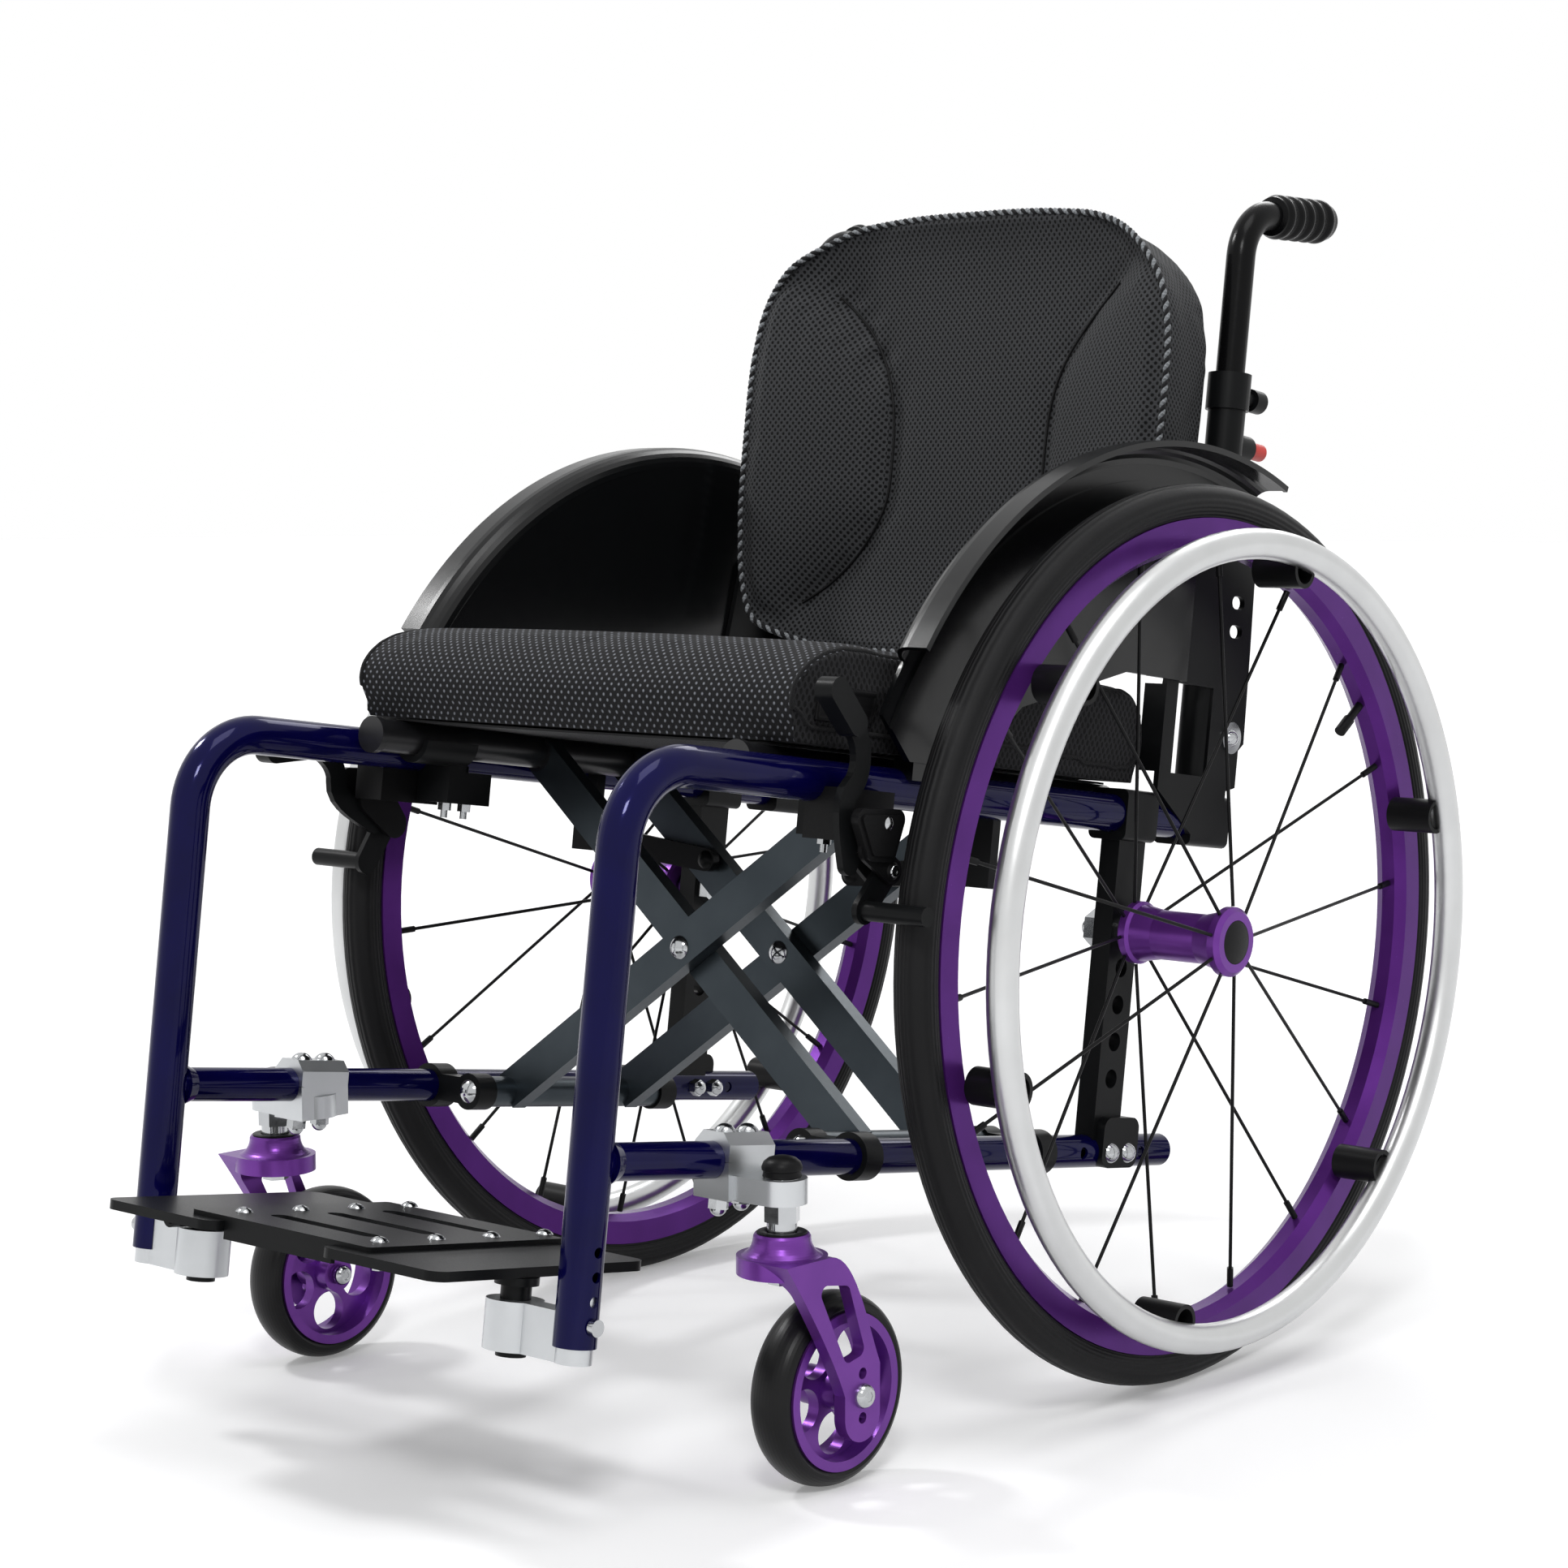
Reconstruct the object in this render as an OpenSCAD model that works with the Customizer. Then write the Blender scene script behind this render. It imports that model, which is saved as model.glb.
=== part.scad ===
// Folding active wheelchair: two tube side frames joined by a double cross brace,
// spoked rear wheels with handrims, single-leg front casters, push-to-lock brakes,
// flip-up footplate, wheel guards, seat cushion and padded back.
// The chair faces -Y, +X is the rider's left and the floor is Z = 0.

/* [Rear wheels] */
// Radius of the rim at its flange
rim_r = 276; // [250:1:290]
// Height of the tyre above the rim flange
tyre_h = 22; // [16:1:30]
// Width of the tyre
tyre_w = 27; // [22:1:32]
// Width of the rim
rim_w = 24; // [18:1:26]
// Radial depth of the rim
rim_depth = 22; // [16:1:30]
// Wheel plane out from the side frame
wheel_out = 58; // [54:1:68]
// Spokes on each side of the hub
spoke_pairs = 9; // [6:1:14]
// Radius of a spoke
spoke_r = 1.2; // [0.9:0.1:1.6]
// Radius of the hub's outer flange
hub_r = 23; // [20:1:28]
// Radius of the hub at its waist
waist_r = 16.5; // [15:0.5:18]
// Length of the hub
hub_len = 82; // [74:1:90]
// Radius of the handrim at the middle of its tube
handrim_r = 259.5; // [250:0.5:264]
// Radius of the handrim's tube
handrim_tube = 10; // [8:0.5:11]
// Clear gap between the rim and the handrim's tube
handrim_gap = 24; // [16:1:32]
// Clips that carry the handrim
handrim_tabs = 6; // [4:1:8]
// Radius of the rear axle
axle_r = 6.35; // [5:0.05:7]

/* [Casters] */
// Radius of the caster wheel
caster_r = 59; // [50:1:70]
// Width of the caster tyre
caster_w = 32; // [24:1:34]
// Radial thickness of the caster tyre
caster_tyre_t = 11; // [8:0.5:14]
// Caster out from the side frame
caster_out = 38; // [37:1:44]
// Distance of the caster axle behind the stem
trail = 41; // [34:1:48]
// Radius of the caster stem
stem_r = 6; // [5:0.1:7]
// Radius of the caster axle
caster_pin_r = 4; // [3:0.1:5]
// Thickness of the fork leg
fork_t = 8.5; // [6:0.5:10]
// Radius of the fork head
fork_head_r = 23; // [20:0.5:25]
// Height of the bell on the fork
fork_head_h = 13; // [10:0.5:16]
// Thickness of the fork's crown
crown_t = 11; // [8:0.5:13]

/* [Frame] */
// Slope of the seat rails, down towards the back, in degrees
pitch = 7.7; // [5:0.1:10]
// Seat cushion past the middle of each side frame
seat_over = 10; // [8:1:12]
// Outer radius of the seat rail and front tube
tube_r = 12.7; // [11.5:0.1:13]
// Outer radius of the lower rail
lower_r = 11.1; // [10:0.1:12]
// Wall of the frame tubes
wall = 2; // [1.2:0.1:2.6]
// Distance of the front tube ahead of the axle
front_reach = 487; // [470:1:500]
// Foot of the front tube below the axle
front_drop = 254; // [248:1:260]
// Seat rail above the axle
seat_rise = 78; // [70:1:88]
// Lower rail below the axle
lower_drop = 149.5; // [142:0.5:156]
// Bend of the front tube, at the middle of the tube
bend_r = 50; // [40:1:60]
// Back end of the seat rail behind the axle
seat_end = 98; // [94:1:104]
// Back end of the lower rail behind the axle
lower_end = 73; // [60:1:80]
// Width of the axle bar along the rails
axle_bar_w = 30; // [26:1:34]
// Thickness of the axle bar
axle_bar_t = 15; // [12:0.5:17]
// Spacing of the axle holes down the bar
axle_pitch = 25; // [20:0.5:26]

/* [Cross brace] */
// Lower brace pivots in from the side frames
pivot_in = 40; // [36:1:45]
// Seat tubes in from the side frames
seat_tube_in = 28; // [27:1:32]
// Height of the seat tubes above the seat rails
seat_tube_lift = 8; // [6:0.5:12]
// Radius of the seat tubes
seat_tube_r = 11; // [9:0.5:12]
// Radius of the lower brace tubes
brace_tube_r = 10.5; // [9:0.5:12]
// Width of a brace bar
bar_w = 26; // [20:1:30]
// Thickness of a brace bar
bar_t = 12; // [9:0.5:13]
// Front brace bar ahead of the axle
bar_front = 218; // [205:1:230]
// Rear brace bar ahead of the axle
bar_rear = 106; // [98:1:115]
// Radius of the cross bolts
cross_r = 4; // [3:0.5:5]

/* [Seat and back] */
// Width of the seat cushion
seat_w = 400; // [360:1:480]
// Depth of the seat cushion
seat_d = 369; // [340:1:372]
// Thickness of the seat cushion at its middle
seat_h = 65; // [50:1:80]
// Depth of the roll along the cushion's front
front_roll = 61; // [40:1:80]
// Width of the back cushion
back_w = 380; // [350:1:390]
// Height of the back cushion
back_h = 314; // [280:1:330]
// Thickness of the back cushion at its piping
back_d = 62; // [45:1:66]
// How far the middle of the back lies behind its wings
back_dish = 36; // [20:1:40]
// Bottom of the back cushion above the seat rail
back_lift = 109; // [100:1:125]

/* [Guards and handles] */
// Clear gap between the tyre and the guard
guard_gap = 25; // [16:1:32]
// Thickness of the guard
guard_t = 3; // [2:0.5:4]
// Width of the guard over the tyre
guard_w = 29; // [24:1:36]
// Back canes behind the axle
cane_y = 76; // [72:1:80]
// Radius of a back cane
cane_r = 10; // [8.5:0.5:10.5]
// Top of the cane socket above the seat rail
socket_top = 284; // [260:1:300]
// Grip above the seat rail, where the bend ends
handle_rise = 424; // [400:1:450]
// Radius of the cane's bend
cane_bend = 34; // [28:1:40]
// Length of the grip
grip_len = 76; // [60:1:95]
// Radius of the grip
grip_r = 15.5; // [13:0.5:17]

/* [Footrest] */
// Top of the side plates below the axle
plate_drop = 215; // [206:1:217]
// Thickness of the side plates
plate_t = 6; // [4:0.5:7]
// Front edge of the side plates ahead of the axle
plate_front = 560; // [540:1:575]
// Back edge of the plates ahead of the axle
plate_back = 389; // [388:1:405]
// Edge of the footplate in from the side frames
plate_in = 40; // [39:0.5:44]
// Half width of the centre plate
centre_x = 80; // [72:1:90]
// Thickness of the centre plate
centre_t = 3; // [2:0.5:4]
// Footrest posts in from the side frames
post_in = 50; // [48:1:54]
// Radius of the footrest posts
post_r = 9; // [7:0.5:10]

/* [Brakes] */
// Brake lever pivot ahead of the axle
lever_y = 310; // [306:1:314]
// Brake lever pivot above the axle
lever_z = 46; // [44:1:48]
// Brake arm pivot ahead of the axle
arm_y = 290; // [288:1:292]
// Brake arm pivot above the axle
arm_z = 28; // [26:1:30]
// Length of the brake arm
arm_len = 31; // [28:1:34]
// Radius of the brake roller
roller_r = 6; // [5:0.5:8]
// Swing of the lever from open to locked, in degrees
lever_swing = 51; // [40:1:55]
// Swing of the arm from open to locked, in degrees
arm_swing = 9; // [7:1:14]

/* [Hidden] */
$fn = 64;
fit = 0.05;
gap = 0.3;
over = 1;
tuck = 0.02;
bolt_r = 3;
hole_fit = 0.2;
purple = "#5b2a8c";
blue = "#141450";
black = "#1c1c1e";
silver = "#c4c7ca";
chrome = "#dcdcdc";
gunmetal = "#474c52";
frame_x = seat_w / 2 - seat_over;
wheel_x = frame_x + wheel_out;
caster_x = frame_x + caster_out;
pivot_x = frame_x - pivot_in;
seat_tube_x = frame_x - seat_tube_in;
plate_x = frame_x - plate_in;
post_x = frame_x - post_in;
tyre_r = rim_r + tyre_h;
axle_z = tyre_r;
side_bottom = plate_drop + plate_t;
axle_y = (plate_front * cos(pitch) + side_bottom * sin(pitch) - tyre_r) / 2;
seat_tube_z = seat_rise + seat_tube_lift;
theta = atan((seat_tube_z + lower_drop) / (seat_tube_x + pivot_x));
cross_z = pivot_x * tan(theta) - lower_drop;
hub_in = wheel_x - hub_len / 2 - 2;
hub_out = hub_in + hub_len;
handrim_x = wheel_x + rim_w / 2 + handrim_gap + handrim_tube;
clamp_y = -366;
clamp_pitch = 20;
clamp_len = 40;
stem_y = axle_y + clamp_y * cos(pitch) - lower_drop * sin(pitch);
arm_t = 15;
arm_lift = 5.5;
arm_top = axle_z - clamp_y * sin(pitch) - lower_drop * cos(pitch) - lower_r / cos(pitch) + arm_lift;
arm_low = arm_top - arm_t;
spacer_h = 17.5;
head_top = arm_low - spacer_h - gap;
crown_top = head_top - fork_head_h;
crown_low = crown_top - crown_t;
caster_axle_y = stem_y + trail;
leg_x = caster_x + caster_w / 2 + 3;
leg_out = leg_x + fork_t;
caster_rim_r = caster_r - caster_tyre_t;
guard_r = tyre_r + guard_gap + guard_t;
plate_in_x = frame_x + tube_r - 1.7;
bracket_t = 4;
guard_x = frame_x + 14.3;
plug_deep = 28;
plug_r = lower_r - 1.4;
socket_r = cane_r + 3;
sling_z = seat_tube_z + seat_tube_r + gap;
sling_t = 2.5;
cushion_z = sling_z + sling_t + gap;
cushion_rear = 12;
back_z = seat_rise + back_lift;
block_top = plate_drop + plate_t + 13.5;
block_low = block_top + 29;
block_r = 17;
neck_w = 16;
hinge_x = plate_x - 4;
hinge_z = -(plate_drop + plate_t + 7);
hinge_r = 6.2;
hinge_pin_r = 4;
brake_x = frame_x + 23;
brake_plate = 3.5;
lever_t = 5;
lever_x = brake_x + brake_plate + gap;
arm_x = lever_x + lever_t + gap;
arm_plate = 4;
cover_x = arm_x + arm_plate + gap;
cover_t = wheel_x - tyre_w / 2 - 1 - cover_x;
link_x = frame_x - 12;
link_z = 31;
link_end = [66, 22];
link_y = -134;
link_t = 6;
bracket_face = link_y - gap;
button_z = 339;
button_r = 6;
foot_bolts = [-0.5, 18.5];
saddle_y = -305;
saddle_len = 46;

// Places: the left side is drawn and the right side mirrors it
module side(s) mirror([s > 0 ? 0 : 1, 0, 0]) children();

// Frame coordinates: origin at the axle, Y along the rails
module rails() translate([0, axle_y, axle_z]) rotate([-pitch, 0, 0]) children();

// Outline in Y and Z, extruded from x0 to x1
module yz(x0, x1) translate([x0, 0, 0]) rotate([90, 0, 90]) linear_extrude(x1 - x0) children();

// Outline in X and Z, extruded from y0 to y1
module xz(y0, y1) translate([0, y1, 0]) rotate([90, 0, 0]) linear_extrude(y1 - y0) children();

module rod_x(x0, x1, y, z, r) translate([x0, y, z]) rotate([0, 90, 0]) cylinder(r = r, h = x1 - x0);
module rod_y(y0, y1, x, z, r) translate([x, y0, z]) rotate([-90, 0, 0]) cylinder(r = r, h = y1 - y0);
module rod_z(z0, z1, x, y, r) translate([x, y, z0]) cylinder(r = r, h = z1 - z0);
module block(x0, x1, y0, y1, z0, z1) translate([x0, y0, z0]) cube([x1 - x0, y1 - y0, z1 - z0]);

// Flat strap with round ends of two radii; its sides cut just inside the ends, so they meet cleanly
module strap(a, b, ra, rb) {
    turn = atan2(b[1] - a[1], b[0] - a[0]);
    lean = acos((ra - rb) / norm(b - a));
    up = [cos(turn + lean), sin(turn + lean)];
    down = [cos(turn - lean), sin(turn - lean)];
    translate(a) circle(ra);
    translate(b) circle(rb);
    polygon([a + (ra - tuck) * up, a + (ra - tuck) * down, b + (rb - tuck) * down, b + (rb - tuck) * up]);
}

// Chain of straps through points [y, z, radius]
module chain(p) for (i = [0 : len(p) - 2])
    strap([p[i][0], p[i][1]], [p[i + 1][0], p[i + 1][1]], p[i][2], p[i + 1][2]);

// Polygon with its corners rounded outwards by r
module lozenge(p, r) {
    polygon(p);
    chain([for (i = [0 : len(p)]) let (q = p[i % len(p)]) [q[0], q[1], r]]);
}

// Points along a curve from a to d that leaves towards b and arrives from c
function curve(a, b, c, d, n) = [for (k = [0 : n]) let (t = k / n, u = 1 - t)
    u * u * u * a + 3 * u * u * t * b + 3 * u * t * t * c + t * t * t * d];

// Band of half width r along the points p, with round ends
module band(p, r) {
    last = len(p) - 1;
    function beside(i, w) = let (d = p[min(i + 1, last)] - p[max(i - 1, 0)])
        p[i] + w * [-d[1], d[0]] / norm(d);
    polygon(concat([for (i = [0 : last]) beside(i, r - tuck)],
        [for (i = [last : -1 : 0]) beside(i, tuck - r)]));
    translate(p[0]) circle(r);
    translate(p[last]) circle(r);
}

// Rectangle with round corners
module rounded(x0, x1, y0, y1, r) {
    translate([x0 + r, y0]) square([x1 - x0 - 2 * r, y1 - y0]);
    translate([x0, y0 + r]) square([x1 - x0, y1 - y0 - 2 * r]);
    for (x = [x0 + r, x1 - r], y = [y0 + r, y1 - r]) translate([x, y]) circle(r);
}

// Domed bolt head that stands on Z = 0
module dome(r, h) {
    ball = (r * r + h * h) / (2 * h);
    intersection() {
        translate([0, 0, h - ball]) sphere(ball);
        cylinder(r = r + over, h = h + over);
    }
}

// Hexagon nut across its flats, standing on Z = 0
module hex_nut(flats, h) cylinder(d = flats / cos(30), h = h, $fn = 6);

// Acorn nut hanging below Z = 0
module acorn(flats, h) {
    translate([0, 0, -h]) hex_nut(flats, h);
    translate([0, 0, -h]) mirror([0, 0, 1]) dome(flats / 2 - 0.4, flats / 2 - 1);
}

// Side frame
module bent_tube(r, cut) {
    rod_z(-front_drop - cut, seat_rise - bend_r, frame_x, -front_reach, r);
    translate([frame_x, bend_r - front_reach, seat_rise - bend_r]) rotate([90, 0, 90])
        rotate([0, 0, 90]) rotate_extrude(angle = 90) translate([bend_r, 0]) circle(r);
    rod_y(bend_r - front_reach, seat_end - 4 * cut, frame_x, seat_rise, r);
}

module clamp_bolt_holes(r) for (k = [-1, 1])
    rod_z(-lower_drop - 60, -lower_drop + 40, frame_x, clamp_y + k * clamp_pitch / 2, r);

module side_frame(s) color(blue) side(s) rails() difference() {
    weld = lower_r + 3;
    union() {
        bent_tube(tube_r, 0);
        rod_y(-front_reach, lower_end, frame_x, -lower_drop, lower_r);
        translate([frame_x, tube_r - 3 - front_reach, -lower_drop]) rotate([-90, 0, 0])
            cylinder(r1 = weld, r2 = lower_r, h = 8);
    }
    bent_tube(tube_r - wall, 1);
    rod_y(tube_r - front_reach, lower_end + over, frame_x, -lower_drop, lower_r - wall);
    rod_y(lower_end - plug_deep, lower_end + over, frame_x, -lower_drop, plug_r);
    clamp_bolt_holes(bolt_r + hole_fit);
    for (y = foot_bolts) rod_x(frame_x - 20, frame_x + 20, y, -lower_drop, bolt_r + hole_fit);
    for (y = [-28, 38]) rod_x(frame_x - 20, frame_x + 20, y, -lower_drop, 4);
    for (k = [0 : 3])
        rod_x(frame_x, frame_x + 20, -front_reach, 13 - front_drop + k * 14, bolt_r + hole_fit);
    block(frame_x - tube_r - over, frame_x, -front_reach - neck_w / 2 - gap,
        -front_reach + neck_w / 2 + gap, -front_drop - over, gap - block_top);
}

// Bar with the row of axle holes, clamped to the seat rail and bolted to the lower rail
module axle_bar(s) color(black) side(s) rails() difference() {
    half = axle_bar_w / 2;
    union() {
        block(frame_x - axle_bar_t / 2, frame_x + axle_bar_t / 2, -half, half,
            8 - lower_drop, seat_rise - 6);
        xz(-half - 3, half + 3) rounded(frame_x - tube_r - 4, frame_x + tube_r + 1,
            seat_rise - tube_r - 5, seat_rise + tube_r + 4, 5);
        yz(frame_x - 3, frame_x + lower_r + 3) rounded(foot_bolts[0] - 11, foot_bolts[1] + 10,
            -lower_drop - 10, 24 - lower_drop, 8);
    }
    rod_y(-half - 10, half + 10, frame_x, seat_rise, tube_r + fit);
    rod_y(foot_bolts[0] - 20, foot_bolts[1] + 20, frame_x, -lower_drop, lower_r + fit);
    for (k = [0 : 4]) rod_x(frame_x - 20, frame_x + 20, 0, -k * axle_pitch, axle_r + fit);
    for (y = foot_bolts) rod_x(frame_x, frame_x + 20, y, -lower_drop, bolt_r + hole_fit);
}

// Caster arm under the lower rail, with the chamfered cap that clamps it
module caster_mount(s) color(silver) side(s) {
    difference() {
        union() {
            translate([0, 0, arm_low]) linear_extrude(arm_t) {
                strap([frame_x, stem_y], [caster_x, stem_y], 17, 15);
                translate([frame_x - 14, stem_y - clamp_len / 2]) square([28, clamp_len]);
            }
            translate([frame_x - 14, stem_y - clamp_len / 2, arm_top - over]) cube([28, clamp_len, 9]);
        }
        rails() rod_y(clamp_y - 60, clamp_y + 60, frame_x, -lower_drop, lower_r + fit);
        rails() clamp_bolt_holes(bolt_r + hole_fit);
        rod_z(arm_low - over, arm_top + over, caster_x, stem_y, stem_r + fit);
    }
    rails() difference() {
        xz(clamp_y - clamp_len / 2, clamp_y + clamp_len / 2) translate([frame_x, -lower_drop])
            polygon([[-14, 0], [-14, 10], [-8, 17], [8, 17], [14, 10], [14, 0]]);
        rod_y(clamp_y - 60, clamp_y + 60, frame_x, -lower_drop, lower_r + fit);
        clamp_bolt_holes(bolt_r + hole_fit);
    }
}

// Block plugged into the front tube that carries the footrest post
module foot_block(s) color(silver) side(s) rails() difference() {
    union() {
        rod_z(-block_low, -block_top, post_x, -front_reach, block_r);
        block(post_x, frame_x, -front_reach - neck_w / 2, neck_w / 2 - front_reach,
            -block_low, -block_top);
        rod_z(-block_low, 30 - front_drop, frame_x, -front_reach, tube_r - wall - fit);
    }
    rod_z(-block_low - over, over - block_top, post_x, -front_reach, post_r + fit);
    rod_x(frame_x, frame_x + 20, -front_reach, 13 - front_drop, bolt_r + hole_fit);
}

// Footrest post: the left one ends in a pad, the right one in the hinge of the footplate
module foot_post(s) color(black) side(s) rails() {
    plate_low = -side_bottom;
    if (s > 0) {
        rod_z(-block_low - 4, plate_low - 4, post_x, -front_reach, post_r);
        rod_z(plate_low - 5, plate_low - gap, post_x, -front_reach, post_r + 4);
    } else {
        rod_z(-block_low - 4, hinge_z, post_x, -front_reach, post_r - 1);
        rod_z(-block_low - 4, -block_top, post_x, -front_reach, post_r);
        rod_y(-front_reach - 12, 12 - front_reach, hinge_x, hinge_z, hinge_r);
        rod_y(-front_reach - 26, 26 - front_reach, hinge_x, hinge_z, hinge_pin_r);
    }
}

// Lower pivot blocks on the lower rail, and the saddle that holds the seat tube
pivot_pin_r = 6;
tube_front = -bar_front - 26;
tube_back = -bar_rear + 26;
block_len = 16;

module pivot_block(y0) difference() {
    union() {
        rod_y(y0, y0 + block_len, frame_x, -lower_drop, lower_r + 4);
        rod_y(y0, y0 + block_len, pivot_x, -lower_drop, brace_tube_r + 2);
        block(pivot_x, frame_x, y0, y0 + block_len, -lower_drop - 9, 9 - lower_drop);
    }
    rod_y(y0 - over, y0 + block_len + over, frame_x, -lower_drop, lower_r + fit);
    rod_y(y0 - over, y0 + block_len + over, pivot_x, -lower_drop, pivot_pin_r + fit);
}

module brace_seats(s) color(black) side(s) rails() {
    pivot_block(tube_front - block_len - gap);
    pivot_block(tube_back + gap);
    difference() {
        union() {
            rod_y(saddle_y - saddle_len / 2, saddle_y + saddle_len / 2, seat_tube_x, seat_tube_z,
                seat_tube_r + 5);
            block(seat_tube_x - 6, frame_x - 3, saddle_y + 8,
                saddle_y + saddle_len / 2 + 24, seat_rise - tube_r - 20, seat_rise - 4);
        }
        rod_y(saddle_y - 90, saddle_y + 90, seat_tube_x, seat_tube_z, seat_tube_r + gap);
        rod_y(saddle_y - 90, saddle_y + 90, frame_x, seat_rise, tube_r + fit);
        block(0, seat_tube_x + seat_tube_r + 6, saddle_y - 90, saddle_y + 90, seat_tube_z, seat_tube_z + 40);
        block(0, seat_tube_x + seat_tube_r + 6, saddle_y + saddle_len / 2, saddle_y + 90,
            seat_tube_z - seat_tube_r - 8, seat_tube_z + 40);
    }
    difference() {
        block(link_x - 10, link_x + 10, bracket_face - 8, bracket_face, link_z - 10, seat_rise - 2);
        rod_y(bracket_face - 30, bracket_face + 30, frame_x, seat_rise, tube_r + fit);
    }
    rod_y(bracket_face - 4, link_y + link_t + 2, link_x, link_z, cross_r);
}

// Corners of the brake cover around the lever pivot
cover_outline = [[-13.5, 11], [17.5, 12.5], [12, -6.5], [-2.5, -7]];

// Brake: clamp under the seat rail with its mechanism plate, pins and cover
module brake_clamp(s) color(black) side(s) rails() {
    difference() {
        block(frame_x - 2, brake_x + over, -lever_y - 18, -arm_y + 14,
            seat_rise - tube_r - 22, seat_rise - 3);
        rod_y(-lever_y - 60, -arm_y + 60, frame_x, seat_rise, tube_r + fit);
    }
    yz(brake_x, brake_x + brake_plate) chain([[-lever_y, lever_z, 14], [-arm_y, arm_z, 10]]);
    rod_x(brake_x, cover_x + over, -lever_y, lever_z, cross_r);
    rod_x(brake_x, cover_x + over, -arm_y, arm_z, cross_r);
    yz(cover_x, cover_x + cover_t - 1.5) translate([-lever_y, lever_z]) lozenge(cover_outline, 6.5);
    yz(cover_x + cover_t - 2, cover_x + cover_t) translate([-lever_y, lever_z]) lozenge(cover_outline, 3);
    yz(cover_x, cover_x + 3) chain([[-lever_y - 3, lever_z - 6, 8.5], [-arm_y, arm_z, 8]]);
    translate([cover_x + 3, -arm_y, arm_z]) rotate([0, 90, 0]) dome(5.5, 2);
}

module brake_lever(s) color(black) side(s) rails()
    translate([0, -lever_y, lever_z]) rotate([s > 0 ? 0 : lever_swing, 0, 0]) difference() {
        foot = curve([-11, -16], [-17, 2], [-24, 22], [-14, 29], 7);
        neck = curve([-14, 29], [-5, 36], [-4, 58], [-20, 68], 9);
        union() {
            yz(lever_x, lever_x + lever_t) {
                strap([0, 0], [-15.5, -2], 9, 6);
                band(concat(foot, [for (k = [1 : 9]) neck[k]]), 7);
            }
            yz(lever_x - 4, lever_x + lever_t + 4) chain([[-19, 67, 7.8], [-39, 85, 8]]);
        }
        rod_x(lever_x - 20, lever_x + 20, 0, 0, cross_r + fit);
    }

// Angle of the arm, from its pivot to the roller, where the roller meets the tyre
arm_far = sqrt(arm_y * arm_y + arm_z * arm_z);
roller_touch = tyre_r + roller_r + gap;
arm_lock = 180 - atan(arm_z / arm_y) + acos((roller_touch * roller_touch - arm_far * arm_far
    - arm_len * arm_len) / (2 * arm_far * arm_len));

module brake_arm(s) color(black) side(s) rails() translate([0, -arm_y, arm_z])
    rotate([arm_lock - (s > 0 ? arm_swing : 0), 0, 0]) {
        difference() {
            yz(arm_x, arm_x + arm_plate) strap([0, 0], [arm_len, 0], 9, 8.5);
            rod_x(arm_x - over, arm_x + 20, 0, 0, cross_r + fit);
        }
        rod_x(arm_x + 1.5, wheel_x + tyre_w / 2 + 12, arm_len, 0, roller_r);
    }

// Wheel guard: a panel beside the seat with a flange over the tyre
guard_front = 150;
guard_back = 73;
guard_curl = 14;
guard_step = 26;

module guard_outline(r) intersection() {
    low = seat_rise + 17;
    circle(r);
    polygon([[-258, low], [-200, low], [-150, seat_rise + 60], [-40, seat_rise + 93],
        [30, seat_rise + 93], [30, seat_rise + 190], [92, seat_rise + 206], [92, guard_r],
        [-guard_r, guard_r], [-guard_r, seat_rise + 80]]);
}

// Cross-section of the flange: radius from the axle, then distance out from the panel
module guard_section() {
    inner = guard_r - guard_t;
    function arc(r, from, to) = [for (k = [0 : 6]) let (t = from + (to - from) * k / 6)
        [guard_r - guard_curl + r * cos(t), guard_curl + r * sin(t)]];
    root = guard_r - guard_curl - 3;
    polygon(concat([[root, 0.3]], arc(guard_curl, -90, 0), [[guard_r, guard_w], [inner - 1, guard_w],
        [inner - 1, guard_w - 3], [inner, guard_w - 3]], arc(guard_curl - guard_t, 0, -90),
        [[root, guard_t - 0.3]]));
}

module side_guard(s) color(black) side(s) rails() {
    yz(guard_x, guard_x + guard_t) guard_outline(guard_r - guard_curl - 1);
    yz(guard_x + guard_t - over, guard_x + guard_t + 1.5) guard_outline(guard_r - guard_step);
    translate([guard_x, 0, 0]) rotate([90, 0, 90]) rotate([0, 0, guard_back])
        rotate_extrude(angle = guard_front - guard_back) guard_section();
    difference() {
        block(frame_x, guard_x + over, -250, -208, seat_rise + 6, seat_rise + 21);
        rod_y(-260, -200, frame_x, seat_rise, tube_r + fit);
    }
}

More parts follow.
